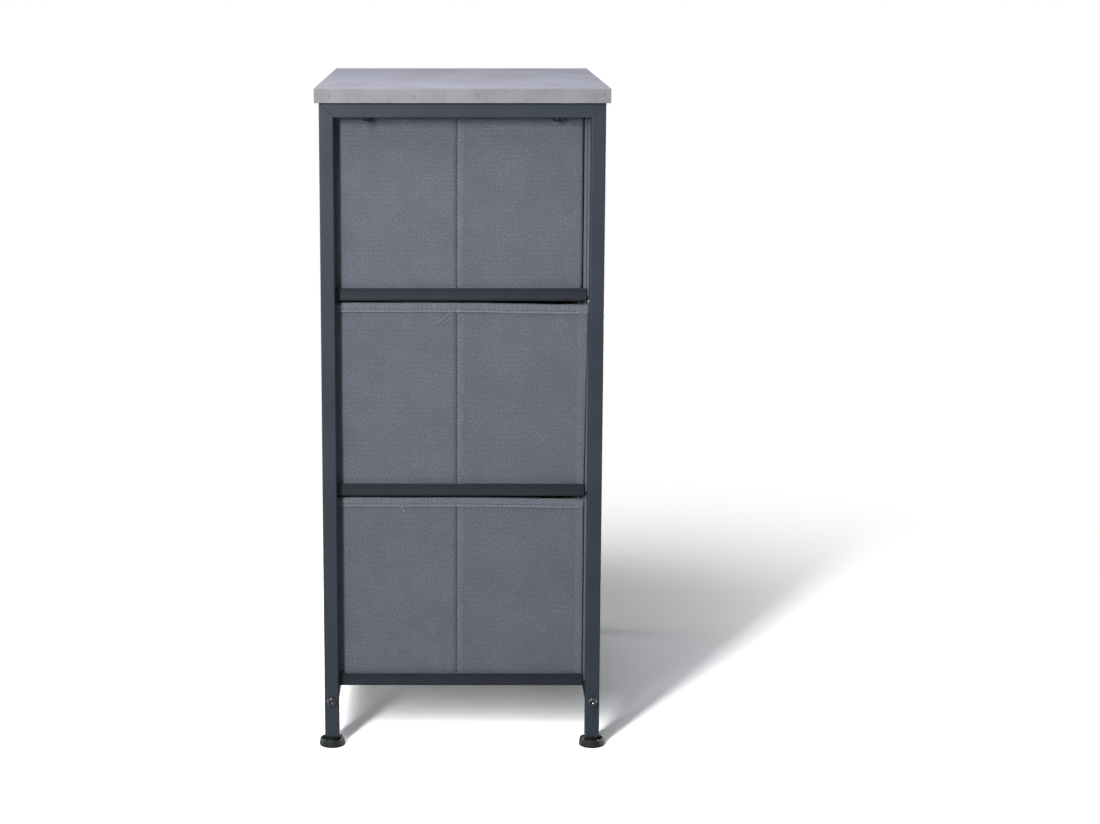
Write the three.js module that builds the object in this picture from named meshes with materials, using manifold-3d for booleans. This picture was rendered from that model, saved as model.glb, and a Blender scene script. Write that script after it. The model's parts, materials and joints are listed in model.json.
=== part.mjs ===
// Three-tier fabric drawer dresser: two welded tube side frames, two lower stretchers, a laminated
// top board and three fabric bins that slide on angle runners. Millimetres, +Z up.
// The origin is on the floor under the middle. Bins open towards -Y, the long side lies along X.
import * as THREE from "three";
import { mergeVertices } from "three/addons/utils/BufferGeometryUtils.js";
import Module from "manifold-3d";

const wasm = await Module();
wasm.setup();

// Fits and cuts
const touchGap = 0.3;
const cutOverrun = 4;
const threadClearance = 0.3;

// Top board
const boardLength = 450;
const boardDepth = 300;
const boardThickness = 14.5;
const boardOverhang = 4.5;

// Side frames of square tube
const tubeSize = 15;
const tubeWall = 1.2;
const tubeCornerRadius = 1.5;
const tubeInsideRadius = 0.4;
const legPlateThickness = 3;
const cornerSteps = 3;

// Tiers, from the lowest up, and their angle runners
const tierNames = ["bottom", "middle", "top"];
const lowestRunner = 63;
const tierPitch = 206.5;
const topTierDrop = 2.5;
const runnerSheet = 1.5;
const runnerHeight = 13.5;
const runnerShelf = 13.5;
const runnerNotch = 2.5;
const stopHeight = 12;

// Lower stretchers of flat tube
const stretcherHeight = 20;
const stretcherThickness = 12;
const stretcherWall = 1.2;
const stretcherCornerRadius = 1.2;
const stretcherInsideRadius = 0.6;
const stretcherDrop = 3.5;
const stretcherPlug = 16;

// Button head screws, the same size everywhere
const threadDiameter = 6;
const headDiameter = 10.5;
const headHeight = 3.3;
const headEdge = 0.7;
const headFlat = 6;
const socketWidth = 4;
const socketDepth = 2;
const boardScrewInset = 49;
const boardScrewCover = 4.8;
const stretcherBoltReach = 13;
const holeBottomSpace = 1;
const headSteps = 5;
const roundSides = 20;

// Levelling feet
const footDiameter = 27;
const footRimDiameter = 25.4;
const footHeight = 8;
const footHubRise = 2.7;
const footEdge = 0.6;
const footRimWidth = 1.1;
const footDishDepth = 3.2;
const footHubDiameter = 11;
const footStemReach = 16;
const footSides = 32;

// Fabric bins
const sideClearance = 2;
const binHeadroom = 0.7;
const panelRecess = 13.5;
const binRearRecess = 9.5;
const fabricThickness = 0.8;
const liningThickness = 0.6;
const stiffenerThickness = 2;
const bindingThickness = 0.6;
const bindingHeight = 9.5;
const binCornerRadius = 4;
const foldGap = 3;
const baseBoardThickness = 3;
const baseBoardClearance = 1.5;

// Front panel and its strap pull
const panelThickness = 7;
const panelCornerRadius = 3;
const coverThickness = 0.7;
const pullSpan = 112;
const pullTab = 14;
const pullWidth = 25;
const pullThickness = 2;
const pullRise = 10.5;
const pullSteps = 14;
const pullHeightShare = 0.56;

// The two ends of a side frame, with the direction in which each lies along Y
const frameEnds = [["front", -1], ["rear", 1]];

// Levels and places that follow from the sizes above
const frameTop = lowestRunner + tierNames.length * tierPitch - topTierDrop;
const frameOuterX = boardLength / 2 - boardOverhang;
const frameInnerX = frameOuterX - tubeSize;
const frameMiddleX = frameOuterX - tubeSize / 2;
const frameOuterY = boardDepth / 2 - boardOverhang;
const frameInnerY = frameOuterY - tubeSize;
const frameMiddleY = frameOuterY - tubeSize / 2;
const boardBottom = frameTop + touchGap;
const footHubTop = footHeight + footHubRise;
const legBottom = footHubTop + touchGap;
const threadHole = threadDiameter + 2 * threadClearance;
const boardScrewY = frameOuterY - boardScrewInset;
const boardHoleTop = boardBottom + boardThickness - boardScrewCover;
const stretcherMiddle = lowestRunner - stretcherDrop - stretcherHeight / 2;

const binWidth = 2 * (frameInnerX - sideClearance);
const binHeight = tierPitch - topTierDrop - runnerSheet - touchGap - binHeadroom;
const panelFront = -frameOuterY + panelRecess;
const panelBack = panelFront + panelThickness;
const binFront = panelBack + touchGap;
const binBack = frameOuterY - binRearRecess;
const binDepth = binBack - binFront;
const binMiddleY = (binFront + binBack) / 2;

// Finishes
const laminate = () => new THREE.MeshStandardMaterial({ color: 0xafacb6, roughness: 0.62 });
const paintedSteel = () =>
  new THREE.MeshStandardMaterial({ color: 0x3b424c, roughness: 0.45, metalness: 0.3 });
const darkSteel = () =>
  new THREE.MeshStandardMaterial({ color: 0x3a3b40, roughness: 0.35, metalness: 0.8 });
const blackPlastic = () => new THREE.MeshStandardMaterial({ color: 0x2a2f31, roughness: 0.5 });
const greyFabric = () => new THREE.MeshStandardMaterial({ color: 0x6c7079, roughness: 0.95 });
const darkWebbing = () => new THREE.MeshStandardMaterial({ color: 0x595d66, roughness: 0.9 });
const greyboard = () => new THREE.MeshStandardMaterial({ color: 0x9a9288, roughness: 0.9 });
const fibreboard = () => new THREE.MeshStandardMaterial({ color: 0xa88a66, roughness: 0.85 });

// A closed geometry as a solid that can be joined and cut.
function solid(geometry) {
  const plain = geometry.clone();
  plain.deleteAttribute("normal");
  plain.deleteAttribute("uv");
  const merged = mergeVertices(plain);
  return new wasm.Manifold(
    new wasm.Mesh({
      numProp: 3,
      vertProperties: merged.attributes.position.array,
      triVerts: new Uint32Array(merged.index.array),
    }),
  );
}

// A solid as a named mesh with its own material.
function piece(name, shape, material) {
  const made = shape.getMesh();
  const geometry = new THREE.BufferGeometry();
  geometry.setAttribute("position", new THREE.BufferAttribute(made.vertProperties, 3));
  geometry.setIndex(new THREE.BufferAttribute(made.triVerts, 1));
  geometry.computeVertexNormals();
  const mesh = new THREE.Mesh(geometry, material());
  mesh.name = name;
  return mesh;
}

// A block from its lowest and highest corners.
function block(low, high) {
  const size = high.map((value, axis) => value - low[axis]);
  const geometry = new THREE.BoxGeometry(...size);
  geometry.translate(...low.map((value, axis) => value + size[axis] / 2));
  return solid(geometry);
}

// A rectangle with rounded corners, centred on the middle.
function roundedRectangle(width, depth, radius) {
  const x = width / 2;
  const y = depth / 2;
  const shape = new THREE.Shape();
  shape.moveTo(x, -y + radius);
  shape.absarc(x - radius, y - radius, radius, 0, Math.PI / 2);
  shape.absarc(-x + radius, y - radius, radius, Math.PI / 2, Math.PI);
  shape.absarc(-x + radius, -y + radius, radius, Math.PI, 1.5 * Math.PI);
  shape.absarc(x - radius, -y + radius, radius, 1.5 * Math.PI, 2 * Math.PI);
  return shape;
}

// A shape drawn in X and Y, standing from one height to another.
function prism(shape, bottom, top) {
  const geometry = new THREE.ExtrudeGeometry(shape, {
    depth: top - bottom,
    bevelEnabled: false,
    curveSegments: cornerSteps,
  });
  geometry.translate(0, 0, bottom);
  return solid(geometry);
}

// A turned solid from [radius, height] points that start and end on the axis.
function turned(profile, sides) {
  const points = profile.map(([radius, height]) => new THREE.Vector2(radius, height));
  return solid(new THREE.LatheGeometry(points, sides).rotateX(Math.PI / 2));
}

// A round hole along Z.
function roundHole(diameter, bottom, top) {
  const geometry = new THREE.CylinderGeometry(diameter / 2, diameter / 2, top - bottom, roundSides);
  geometry.rotateX(Math.PI / 2);
  geometry.translate(0, 0, (bottom + top) / 2);
  return solid(geometry);
}

// The same round hole turned to lie along X.
function roundHoleAlongX(diameter, from, to) {
  return roundHole(diameter, from, to).rotate([0, 90, 0]);
}

// One closed skin through rings of points, flat at its first and last ring.
function skinThrough(rings) {
  const count = rings[0].length;
  const positions = rings.flat().flatMap((point) => point.toArray());
  const faces = [];
  for (let ring = 0; ring < rings.length - 1; ring++) {
    for (let i = 0; i < count; i++) {
      const a = ring * count + i;
      const b = ring * count + ((i + 1) % count);
      faces.push(a, b, b + count, a, b + count, a + count);
    }
  }
  const last = (rings.length - 1) * count;
  for (let i = 1; i < count - 1; i++) {
    faces.push(0, i + 1, i);
    faces.push(last, last + i, last + i + 1);
  }
  const geometry = new THREE.BufferGeometry();
  geometry.setAttribute("position", new THREE.Float32BufferAttribute(positions, 3));
  geometry.setIndex(faces);
  return solid(geometry);
}

// A square tube's section carried up the rear leg, over two mitred corners and down the front leg.
function mitredArch(size, radius, bottom) {
  const section = roundedRectangle(size, size, radius).getPoints(cornerSteps).slice(0, -1);
  const middleZ = frameTop - tubeSize / 2;
  const stations = [
    (x, out) => new THREE.Vector3(x, frameMiddleY + out, bottom),
    (x, out) => new THREE.Vector3(x, frameMiddleY + out, middleZ + out),
    (x, out) => new THREE.Vector3(x, -frameMiddleY - out, middleZ + out),
    (x, out) => new THREE.Vector3(x, -frameMiddleY - out, bottom),
  ];
  return skinThrough(stations.map((place) => section.map((point) => place(point.x, point.y))));
}

// One welded side frame: hollow legs and top tube, closed leg ends, and its screw holes.
function sideFrame() {
  const hollowBottom = legBottom + legPlateThickness;
  const outside = mitredArch(tubeSize, tubeCornerRadius, legBottom);
  const inside = mitredArch(tubeSize - 2 * tubeWall, tubeInsideRadius, hollowBottom);
  let frame = outside.subtract(inside);
  for (const front of [-1, 1]) {
    const footHole = roundHole(threadHole, legBottom - cutOverrun, hollowBottom + cutOverrun);
    const boltHole = roundHoleAlongX(threadHole, -tubeSize, tubeSize);
    const screwHole = roundHole(threadHole, frameTop - tubeSize - cutOverrun, frameTop + cutOverrun);
    frame = frame.subtract(footHole.translate([0, front * frameMiddleY, 0]));
    frame = frame.subtract(boltHole.translate([0, front * frameMiddleY, stretcherMiddle]));
    frame = frame.subtract(screwHole.translate([0, front * boardScrewY, 0]));
  }
  return frame;
}

// An angle runner for the left side: an upright web, a shelf under the bin and a rear stop.
function runner(bottom) {
  const webOuter = -frameInnerX - runnerSheet;
  const webInner = -frameInnerX;
  const besideLegs = webInner + touchGap;
  const shelfInner = webInner + runnerShelf;
  const front = -frameInnerY + touchGap;
  const back = frameInnerY - touchGap;
  const stopFront = binBack + touchGap;
  const stopBack = stopFront + runnerSheet;
  const shelfTop = bottom + runnerSheet;
  const web = block([webOuter, front + runnerNotch, bottom], [webInner, back, bottom + runnerHeight]);
  const shelf = block([webOuter, front, bottom], [shelfInner, back, shelfTop]);
  const tail = block([besideLegs, back - runnerSheet, bottom], [shelfInner, stopBack, shelfTop]);
  const stop = block([besideLegs, stopFront, bottom], [shelfInner, stopBack, bottom + stopHeight]);
  return web.add(shelf).add(tail).add(stop);
}

// A flat tube stretcher between the side frames, with a threaded plug at each end.
function stretcher() {
  const end = frameInnerX - touchGap;
  const plugInner = end - stretcherPlug;
  const outer = roundedRectangle(stretcherHeight, stretcherThickness, stretcherCornerRadius);
  const innerHeight = stretcherHeight - 2 * stretcherWall;
  const innerThickness = stretcherThickness - 2 * stretcherWall;
  const inner = roundedRectangle(innerHeight, innerThickness, stretcherInsideRadius);
  const hollow = prism(outer, -end, end).subtract(prism(inner, -plugInner, plugInner));
  const bore = roundHole(threadHole, -end - cutOverrun, end + cutOverrun);
  return hollow.subtract(bore).rotate([0, 90, 0]);
}

// The hexagonal cut for a key in the top of a screw head.
function hexSocket() {
  const corner = socketWidth / Math.sqrt(3);
  const geometry = new THREE.CylinderGeometry(corner, corner, socketDepth + cutOverrun, 6);
  geometry.rotateX(Math.PI / 2);
  geometry.translate(0, 0, headHeight + (cutOverrun - socketDepth) / 2);
  return solid(geometry);
}

// A button head screw: its seat is at height 0, its head is above and its thread below.
function buttonScrew(reach) {
  const threadRadius = threadDiameter / 2;
  const headRadius = headDiameter / 2;
  const flatRadius = headFlat / 2;
  const domeHeight = headHeight - headEdge;
  const profile = [[0, -reach], [threadRadius, -reach], [threadRadius, 0], [headRadius, 0]];
  for (let step = 0; step <= headSteps; step++) {
    const turn = ((step / headSteps) * Math.PI) / 2;
    const radius = flatRadius + (headRadius - flatRadius) * Math.cos(turn);
    profile.push([radius, headEdge + domeHeight * Math.sin(turn)]);
  }
  profile.push([0, headHeight]);
  return turned(profile, roundSides).subtract(hexSocket());
}

// A levelling foot: a dished round base, a hub under the leg and a threaded stem inside it.
function levellingFoot() {
  const rimRadius = footRimDiameter / 2;
  const innerRim = rimRadius - footRimWidth;
  const dish = footHeight - footDishDepth;
  const stemTop = legBottom + footStemReach;
  const profile = [
    [0, 0],
    [footDiameter / 2 - footEdge, 0],
    [footDiameter / 2, footEdge],
    [rimRadius, footHeight - footEdge],
    [rimRadius - footRimWidth / 2, footHeight],
    [innerRim, footHeight - footEdge],
    [innerRim - footRimWidth, dish],
    [footHubDiameter / 2, dish],
    [footHubDiameter / 2, footHubTop],
    [threadDiameter / 2, footHubTop],
    [threadDiameter / 2, stemTop],
    [0, stemTop],
  ];
  return turned(profile, footSides);
}

// The laminated board with four blind holes for the screws from the side frames.
function topBoard() {
  const x = boardLength / 2;
  const y = boardDepth / 2;
  let board = block([-x, -y, boardBottom], [x, y, boardBottom + boardThickness]);
  for (const side of [-1, 1]) {
    for (const front of [-1, 1]) {
      const hole = roundHole(threadHole, boardBottom - cutOverrun, boardHoleTop);
      board = board.subtract(hole.translate([side * frameMiddleX, front * boardScrewY, 0]));
    }
  }
  return board;
}

// Sizes inside a bin, from the outside inwards. Heights start at the bin's own underside.
const skinInset = bindingThickness + touchGap;
const boardInset = skinInset + fabricThickness + touchGap;
const liningInset = boardInset + stiffenerThickness + touchGap;
const wallInset = liningInset + liningThickness;
const wallTop = binHeight - bindingThickness - touchGap;
const frontLiningInset = boardInset;
const frontWallInset = frontLiningInset + liningThickness;
const liningFloor = fabricThickness + touchGap;
const floorTop = liningFloor + liningThickness;

// A standing box on the bin's plan, drawn in from its sides, its rear and its front.
function binBox(side, front, bottom, top) {
  const width = binWidth - 2 * side;
  const depth = binDepth - side - front;
  const radius = Math.max(binCornerRadius - side, fabricThickness);
  const middle = binMiddleY + (front - side) / 2;
  return prism(roundedRectangle(width, depth, radius), bottom, top).translate([0, middle, 0]);
}

// The outer fabric: four walls and a floor, open at the top.
function fabricBody() {
  const outer = binBox(skinInset, skinInset, 0, wallTop);
  const inset = skinInset + fabricThickness;
  return outer.subtract(binBox(inset, inset, fabricThickness, wallTop + cutOverrun));
}

// The inner fabric: a thinner skin inside the wall stiffeners, open at the top.
function fabricLining() {
  const outer = binBox(liningInset, frontLiningInset, liningFloor, wallTop);
  return outer.subtract(binBox(wallInset, frontWallInset, floorTop, wallTop + cutOverrun));
}

// The binding that is folded over the rim all the way round.
function rimBinding() {
  const bottom = binHeight - bindingHeight;
  const innerLip = wallInset + touchGap + bindingThickness;
  const frontLip = frontWallInset + touchGap + bindingThickness;
  const below = bottom - cutOverrun;
  const slotTop = binHeight - bindingThickness;
  const outer = binBox(0, 0, bottom, binHeight);
  const ring = outer.subtract(binBox(innerLip, frontLip, below, binHeight + cutOverrun));
  const slotOuter = binBox(bindingThickness, bindingThickness, below, slotTop);
  const slotCore = binBox(wallInset + touchGap, frontWallInset + touchGap, below, binHeight);
  return ring.subtract(slotOuter.subtract(slotCore));
}

// The stiffeners between the two fabrics: on each side a pair that meets at the fold, and a rear one.
function stiffeners() {
  const outerX = binWidth / 2 - boardInset;
  const innerX = outerX - stiffenerThickness;
  const rearOuter = binBack - boardInset;
  const rearInner = rearOuter - stiffenerThickness;
  const sideRear = rearInner - touchGap;
  const cornerInset = boardInset + binCornerRadius;
  const sideFront = binFront + cornerInset;
  const cornerX = binWidth / 2 - cornerInset;
  const bottom = liningFloor;
  const sheet = (lowX, highX, lowY, highY) => block([lowX, lowY, bottom], [highX, highY, wallTop]);
  const rearward = [binMiddleY + foldGap / 2, sideRear];
  const forward = [sideFront, binMiddleY - foldGap / 2];
  return {
    left_rear_stiffener: sheet(-outerX, -innerX, ...rearward),
    left_front_stiffener: sheet(-outerX, -innerX, ...forward),
    right_rear_stiffener: sheet(innerX, outerX, ...rearward),
    right_front_stiffener: sheet(innerX, outerX, ...forward),
    back_stiffener: sheet(-cornerX, cornerX, rearInner, rearOuter),
  };
}

// The loose board that lies on the bin's floor.
function baseBoard() {
  const inset = wallInset + baseBoardClearance;
  const frontInset = frontWallInset + baseBoardClearance;
  const bottom = floorTop + touchGap;
  return binBox(inset, frontInset, bottom, bottom + baseBoardThickness);
}

// A slab on the front panel's place, drawn in by one inset from its front, back, top and sides.
function panelSlab(inset, low) {
  const radius = Math.max(panelCornerRadius - inset, coverThickness);
  const high = binHeight - inset;
  const outline = roundedRectangle(binWidth - 2 * inset, high - low, radius);
  const slab = prism(outline, inset, panelThickness - inset).rotate([90, 0, 0]);
  return slab.translate([0, panelBack, (low + high) / 2]);
}

// The rigid board of the front, and the fabric sleeve over it that is open along its lower edge.
function frontPanel() {
  const boardWall = coverThickness + touchGap;
  const cover = panelSlab(0, 0).subtract(panelSlab(coverThickness, -cutOverrun));
  return { front_board: panelSlab(boardWall, boardWall), front_cover: cover };
}

// The strap pull: its two ends lie on the panel and its middle arches away from it.
function strapPull() {
  const halfSpan = pullSpan / 2;
  const halfArch = halfSpan - pullTab;
  const seat = panelFront - touchGap;
  const inner = [new THREE.Vector2(-halfSpan, 0)];
  for (let step = 0; step <= pullSteps; step++) {
    const along = (2 * step) / pullSteps - 1;
    const rise = (pullRise * (1 + Math.cos(Math.PI * along))) / 2;
    inner.push(new THREE.Vector2(halfArch * along, rise));
  }
  inner.push(new THREE.Vector2(halfSpan, 0));
  const outer = inner.map((point) => new THREE.Vector2(point.x, point.y + pullThickness)).reverse();
  const strap = prism(new THREE.Shape([...inner, ...outer]), -pullWidth / 2, pullWidth / 2);
  return strap.mirror([0, 1, 0]).translate([0, seat, binHeight * pullHeightShare]);
}

// One bin: every piece is built at the bin's own height and lifted to its tier.
function bin(name, tier) {
  const group = new THREE.Group();
  group.position.z = lowestRunner + tier * tierPitch + runnerSheet + touchGap;
  const { front_board, front_cover } = frontPanel();
  group.add(piece(`${name}_fabric_body`, fabricBody(), greyFabric));
  group.add(piece(`${name}_lining`, fabricLining(), greyFabric));
  group.add(piece(`${name}_rim_binding`, rimBinding(), greyFabric));
  for (const [part, shape] of Object.entries(stiffeners())) {
    group.add(piece(`${name}_${part}`, shape, greyboard));
  }
  group.add(piece(`${name}_base_board`, baseBoard(), fibreboard));
  group.add(piece(`${name}_front_board`, front_board, fibreboard));
  group.add(piece(`${name}_front_cover`, front_cover, greyFabric));
  group.add(piece(`${name}_strap_pull`, strapPull(), darkWebbing));
  return group;
}

// One side's runners. They are drawn for the left side, and the right side has their mirror image.
function runners(sideName, side) {
  return tierNames.map((tierName, tier) => {
    const leftShape = runner(lowestRunner + tier * tierPitch);
    const shape = side < 0 ? leftShape : leftShape.mirror([1, 0, 0]);
    return piece(`${sideName}_${tierName}_runner`, shape, paintedSteel);
  });
}

// The screw that comes up through the top tube into the board.
function boardScrew(name, x, y) {
  const seat = frameTop - tubeSize - touchGap;
  const screw = piece(name, buttonScrew(boardHoleTop - holeBottomSpace - seat), darkSteel);
  screw.rotation.x = Math.PI;
  screw.position.set(x, y, seat);
  return screw;
}

// The bolt that goes through a leg, from outside, into the end of a stretcher.
function stretcherBolt(name, side, y) {
  const bolt = piece(name, buttonScrew(tubeSize + 2 * touchGap + stretcherBoltReach), darkSteel);
  bolt.rotation.y = (side * Math.PI) / 2;
  bolt.position.set(side * (frameOuterX + touchGap), y, stretcherMiddle);
  return bolt;
}

// A side frame with its runners, its board screws, its stretcher bolts and its feet.
function sideAssembly(sideName, side) {
  const group = new THREE.Group();
  const x = side * frameMiddleX;
  const frame = piece(`${sideName}_side_frame`, sideFrame(), paintedSteel);
  frame.position.x = x;
  group.add(frame, ...runners(sideName, side));
  for (const [endName, front] of frameEnds) {
    const name = `${sideName}_${endName}`;
    const foot = piece(`${name}_foot`, levellingFoot(), blackPlastic);
    foot.position.set(x, front * frameMiddleY, 0);
    group.add(boardScrew(`${name}_board_screw`, x, front * boardScrewY));
    group.add(stretcherBolt(`${name}_stretcher_bolt`, side, front * frameMiddleY));
    group.add(foot);
  }
  return group;
}

const dresser = new THREE.Group();
dresser.name = "fabric_drawer_dresser";
dresser.add(piece("top_board", topBoard(), laminate));
dresser.add(sideAssembly("left", -1));
dresser.add(sideAssembly("right", 1));
for (const [endName, front] of frameEnds) {
  const bar = piece(`${endName}_stretcher`, stretcher(), paintedSteel);
  bar.position.set(0, front * frameMiddleY, stretcherMiddle);
  dresser.add(bar);
}
tierNames.forEach((tierName, tier) => dresser.add(bin(`${tierName}_bin`, tier)));

export default dresser;
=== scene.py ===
"""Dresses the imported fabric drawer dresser: powder-coated frame, laminate board, three sewn bins.

Every length is in metres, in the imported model's own frame: +Z up, bins open towards -Y.
"""

import json
import logging
import math
from dataclasses import dataclass
from enum import Enum
from random import Random
from typing import Callable, Iterable, Sequence

import bmesh
import bpy
from mathutils import Matrix, Vector, noise

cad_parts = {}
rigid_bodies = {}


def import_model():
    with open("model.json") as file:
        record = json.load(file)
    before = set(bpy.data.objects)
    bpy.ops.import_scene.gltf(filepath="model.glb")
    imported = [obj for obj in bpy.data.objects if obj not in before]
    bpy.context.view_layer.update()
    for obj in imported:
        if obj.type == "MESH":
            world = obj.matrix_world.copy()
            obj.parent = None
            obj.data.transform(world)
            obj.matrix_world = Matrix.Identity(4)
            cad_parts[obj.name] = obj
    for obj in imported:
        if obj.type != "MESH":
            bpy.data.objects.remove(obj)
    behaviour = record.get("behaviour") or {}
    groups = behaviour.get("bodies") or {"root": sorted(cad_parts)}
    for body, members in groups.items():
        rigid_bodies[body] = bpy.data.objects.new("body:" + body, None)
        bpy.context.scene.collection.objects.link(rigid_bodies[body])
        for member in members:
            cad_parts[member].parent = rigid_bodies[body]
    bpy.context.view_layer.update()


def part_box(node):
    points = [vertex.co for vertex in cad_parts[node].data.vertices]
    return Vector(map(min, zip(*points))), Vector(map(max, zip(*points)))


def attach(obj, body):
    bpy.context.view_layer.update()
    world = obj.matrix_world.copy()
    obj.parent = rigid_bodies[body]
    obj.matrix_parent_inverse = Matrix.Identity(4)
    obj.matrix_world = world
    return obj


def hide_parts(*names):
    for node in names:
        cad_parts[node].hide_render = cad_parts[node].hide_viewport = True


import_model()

MM = 0.001
TURN = 2 * math.pi
QUARTER = math.pi / 2
CUT = "cut"
TOUCH = 0.3 * MM
DEEP = Vector((0, -1, 0))
WHITE = (1.0, 1.0, 1.0, 1.0)
Tone = tuple[int, int, int]
Socket = bpy.types.NodeSocket

log = logging.getLogger("dresser")


class Word(Enum):
    """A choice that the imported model's node names spell in small letters."""

    @property
    def word(self) -> str:
        """The choice's word in node names."""
        return self.name.lower()


class Side(Word):
    """The two ends of the dresser, with the direction in which each lies along X."""

    LEFT = -1
    RIGHT = 1


class End(Word):
    """Front and rear, with the direction in which each lies along Y."""

    FRONT = -1
    REAR = 1


def paint(*colour: int) -> tuple[float, ...]:
    """Turn a screen colour, from 0 to 255, into the linear colour and alpha that a shader takes."""
    shares = [value / 255 for value in colour]
    return (*(s / 12.92 if s <= 0.04045 else ((s + 0.055) / 1.055) ** 2.4 for s in shares), 1.0)


def smooth(low: float, high: float, value: float) -> float:
    """Rise smoothly from 0 at low to 1 at high."""
    share = min(1.0, max(0.0, (value - low) / (high - low)))
    return share * share * (3 - 2 * share)


def bell(away: float, width: float) -> float:
    """Fall from 1 at 0 to about a third at width, on either side."""
    return math.exp(-((away / width) ** 2))


def running(points: Sequence[Vector]) -> list[float]:
    """The distance along a line from its first point to each.

    Args:
        points: The line.

    Returns:
        The distances.
    """
    reach = [0.0]
    for here, there in zip(points, points[1:]):
        reach.append(reach[-1] + (there - here).length)
    return reach


class Wiring:
    """Adds nodes to one node tree and links them as they are made."""

    def __init__(self, tree: bpy.types.NodeTree) -> None:
        """Start on an empty tree."""
        self.tree = tree
        tree.nodes.clear()

    def node(self, kind: str, *items: object, **given: object) -> bpy.types.Node:
        """Add one node.

        Args:
            kind: The node's type name after "ShaderNode".
            items: Values or sockets for its first inputs, in order.
            given: Its own settings in small letters, and values or sockets for inputs by name, with
                underscores for spaces.

        Returns:
            The new node.
        """
        made = self.tree.nodes.new("ShaderNode" + kind)
        for name, value in given.items():
            if name[0].islower():
                setattr(made, name, value)
            else:
                self.feed(made, name.replace("_", " "), value)
        for number, value in enumerate(items):
            self.feed(made, number, value)
        return made

    def feed(self, node: bpy.types.Node, name: str | int, value: object) -> None:
        """Set or link one input.

        Args:
            node: The node that takes the value.
            name: The input's name, or its number where names repeat.
            value: A plain value, or the socket to link from.
        """
        if isinstance(value, Socket):
            self.tree.links.new(value, node.inputs[name])
        else:
            node.inputs[name].default_value = value

    def sum(self, operation: str, first: object, second: object = 0.0) -> Socket:
        """Work out one sum with a Math node."""
        return self.node("Math", first, second, operation=operation).outputs[0]

    def blend(self, share: object, first: object, second: object) -> Socket:
        """Mix two colours.

        Args:
            share: How much of the second colour shows.
            first: A colour.
            second: Another colour.

        Returns:
            The mixed colour.
        """
        made = self.node("Mix", share, data_type="RGBA")
        self.feed(made, 6, first)
        self.feed(made, 7, second)
        return made.outputs[2]

    def remap(self, value: object, low: float, high: float, bottom: float = 0.0, top: float = 1.0) -> Socket:
        """Stretch the range from low to high smoothly onto the range from bottom to top."""
        made = self.node("MapRange", value, low, high, bottom, top, interpolation_type="SMOOTHSTEP")
        return made.outputs[0]

    def noise(self, where: Socket, scale: float, detail: float, rough: float = 0.5) -> Socket:
        """Read noise at a place, with its scale, its layers and how strong the finer ones are."""
        return self.node("TexNoise", Vector=where, Scale=scale, Detail=detail, Roughness=rough).outputs[0]


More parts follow.
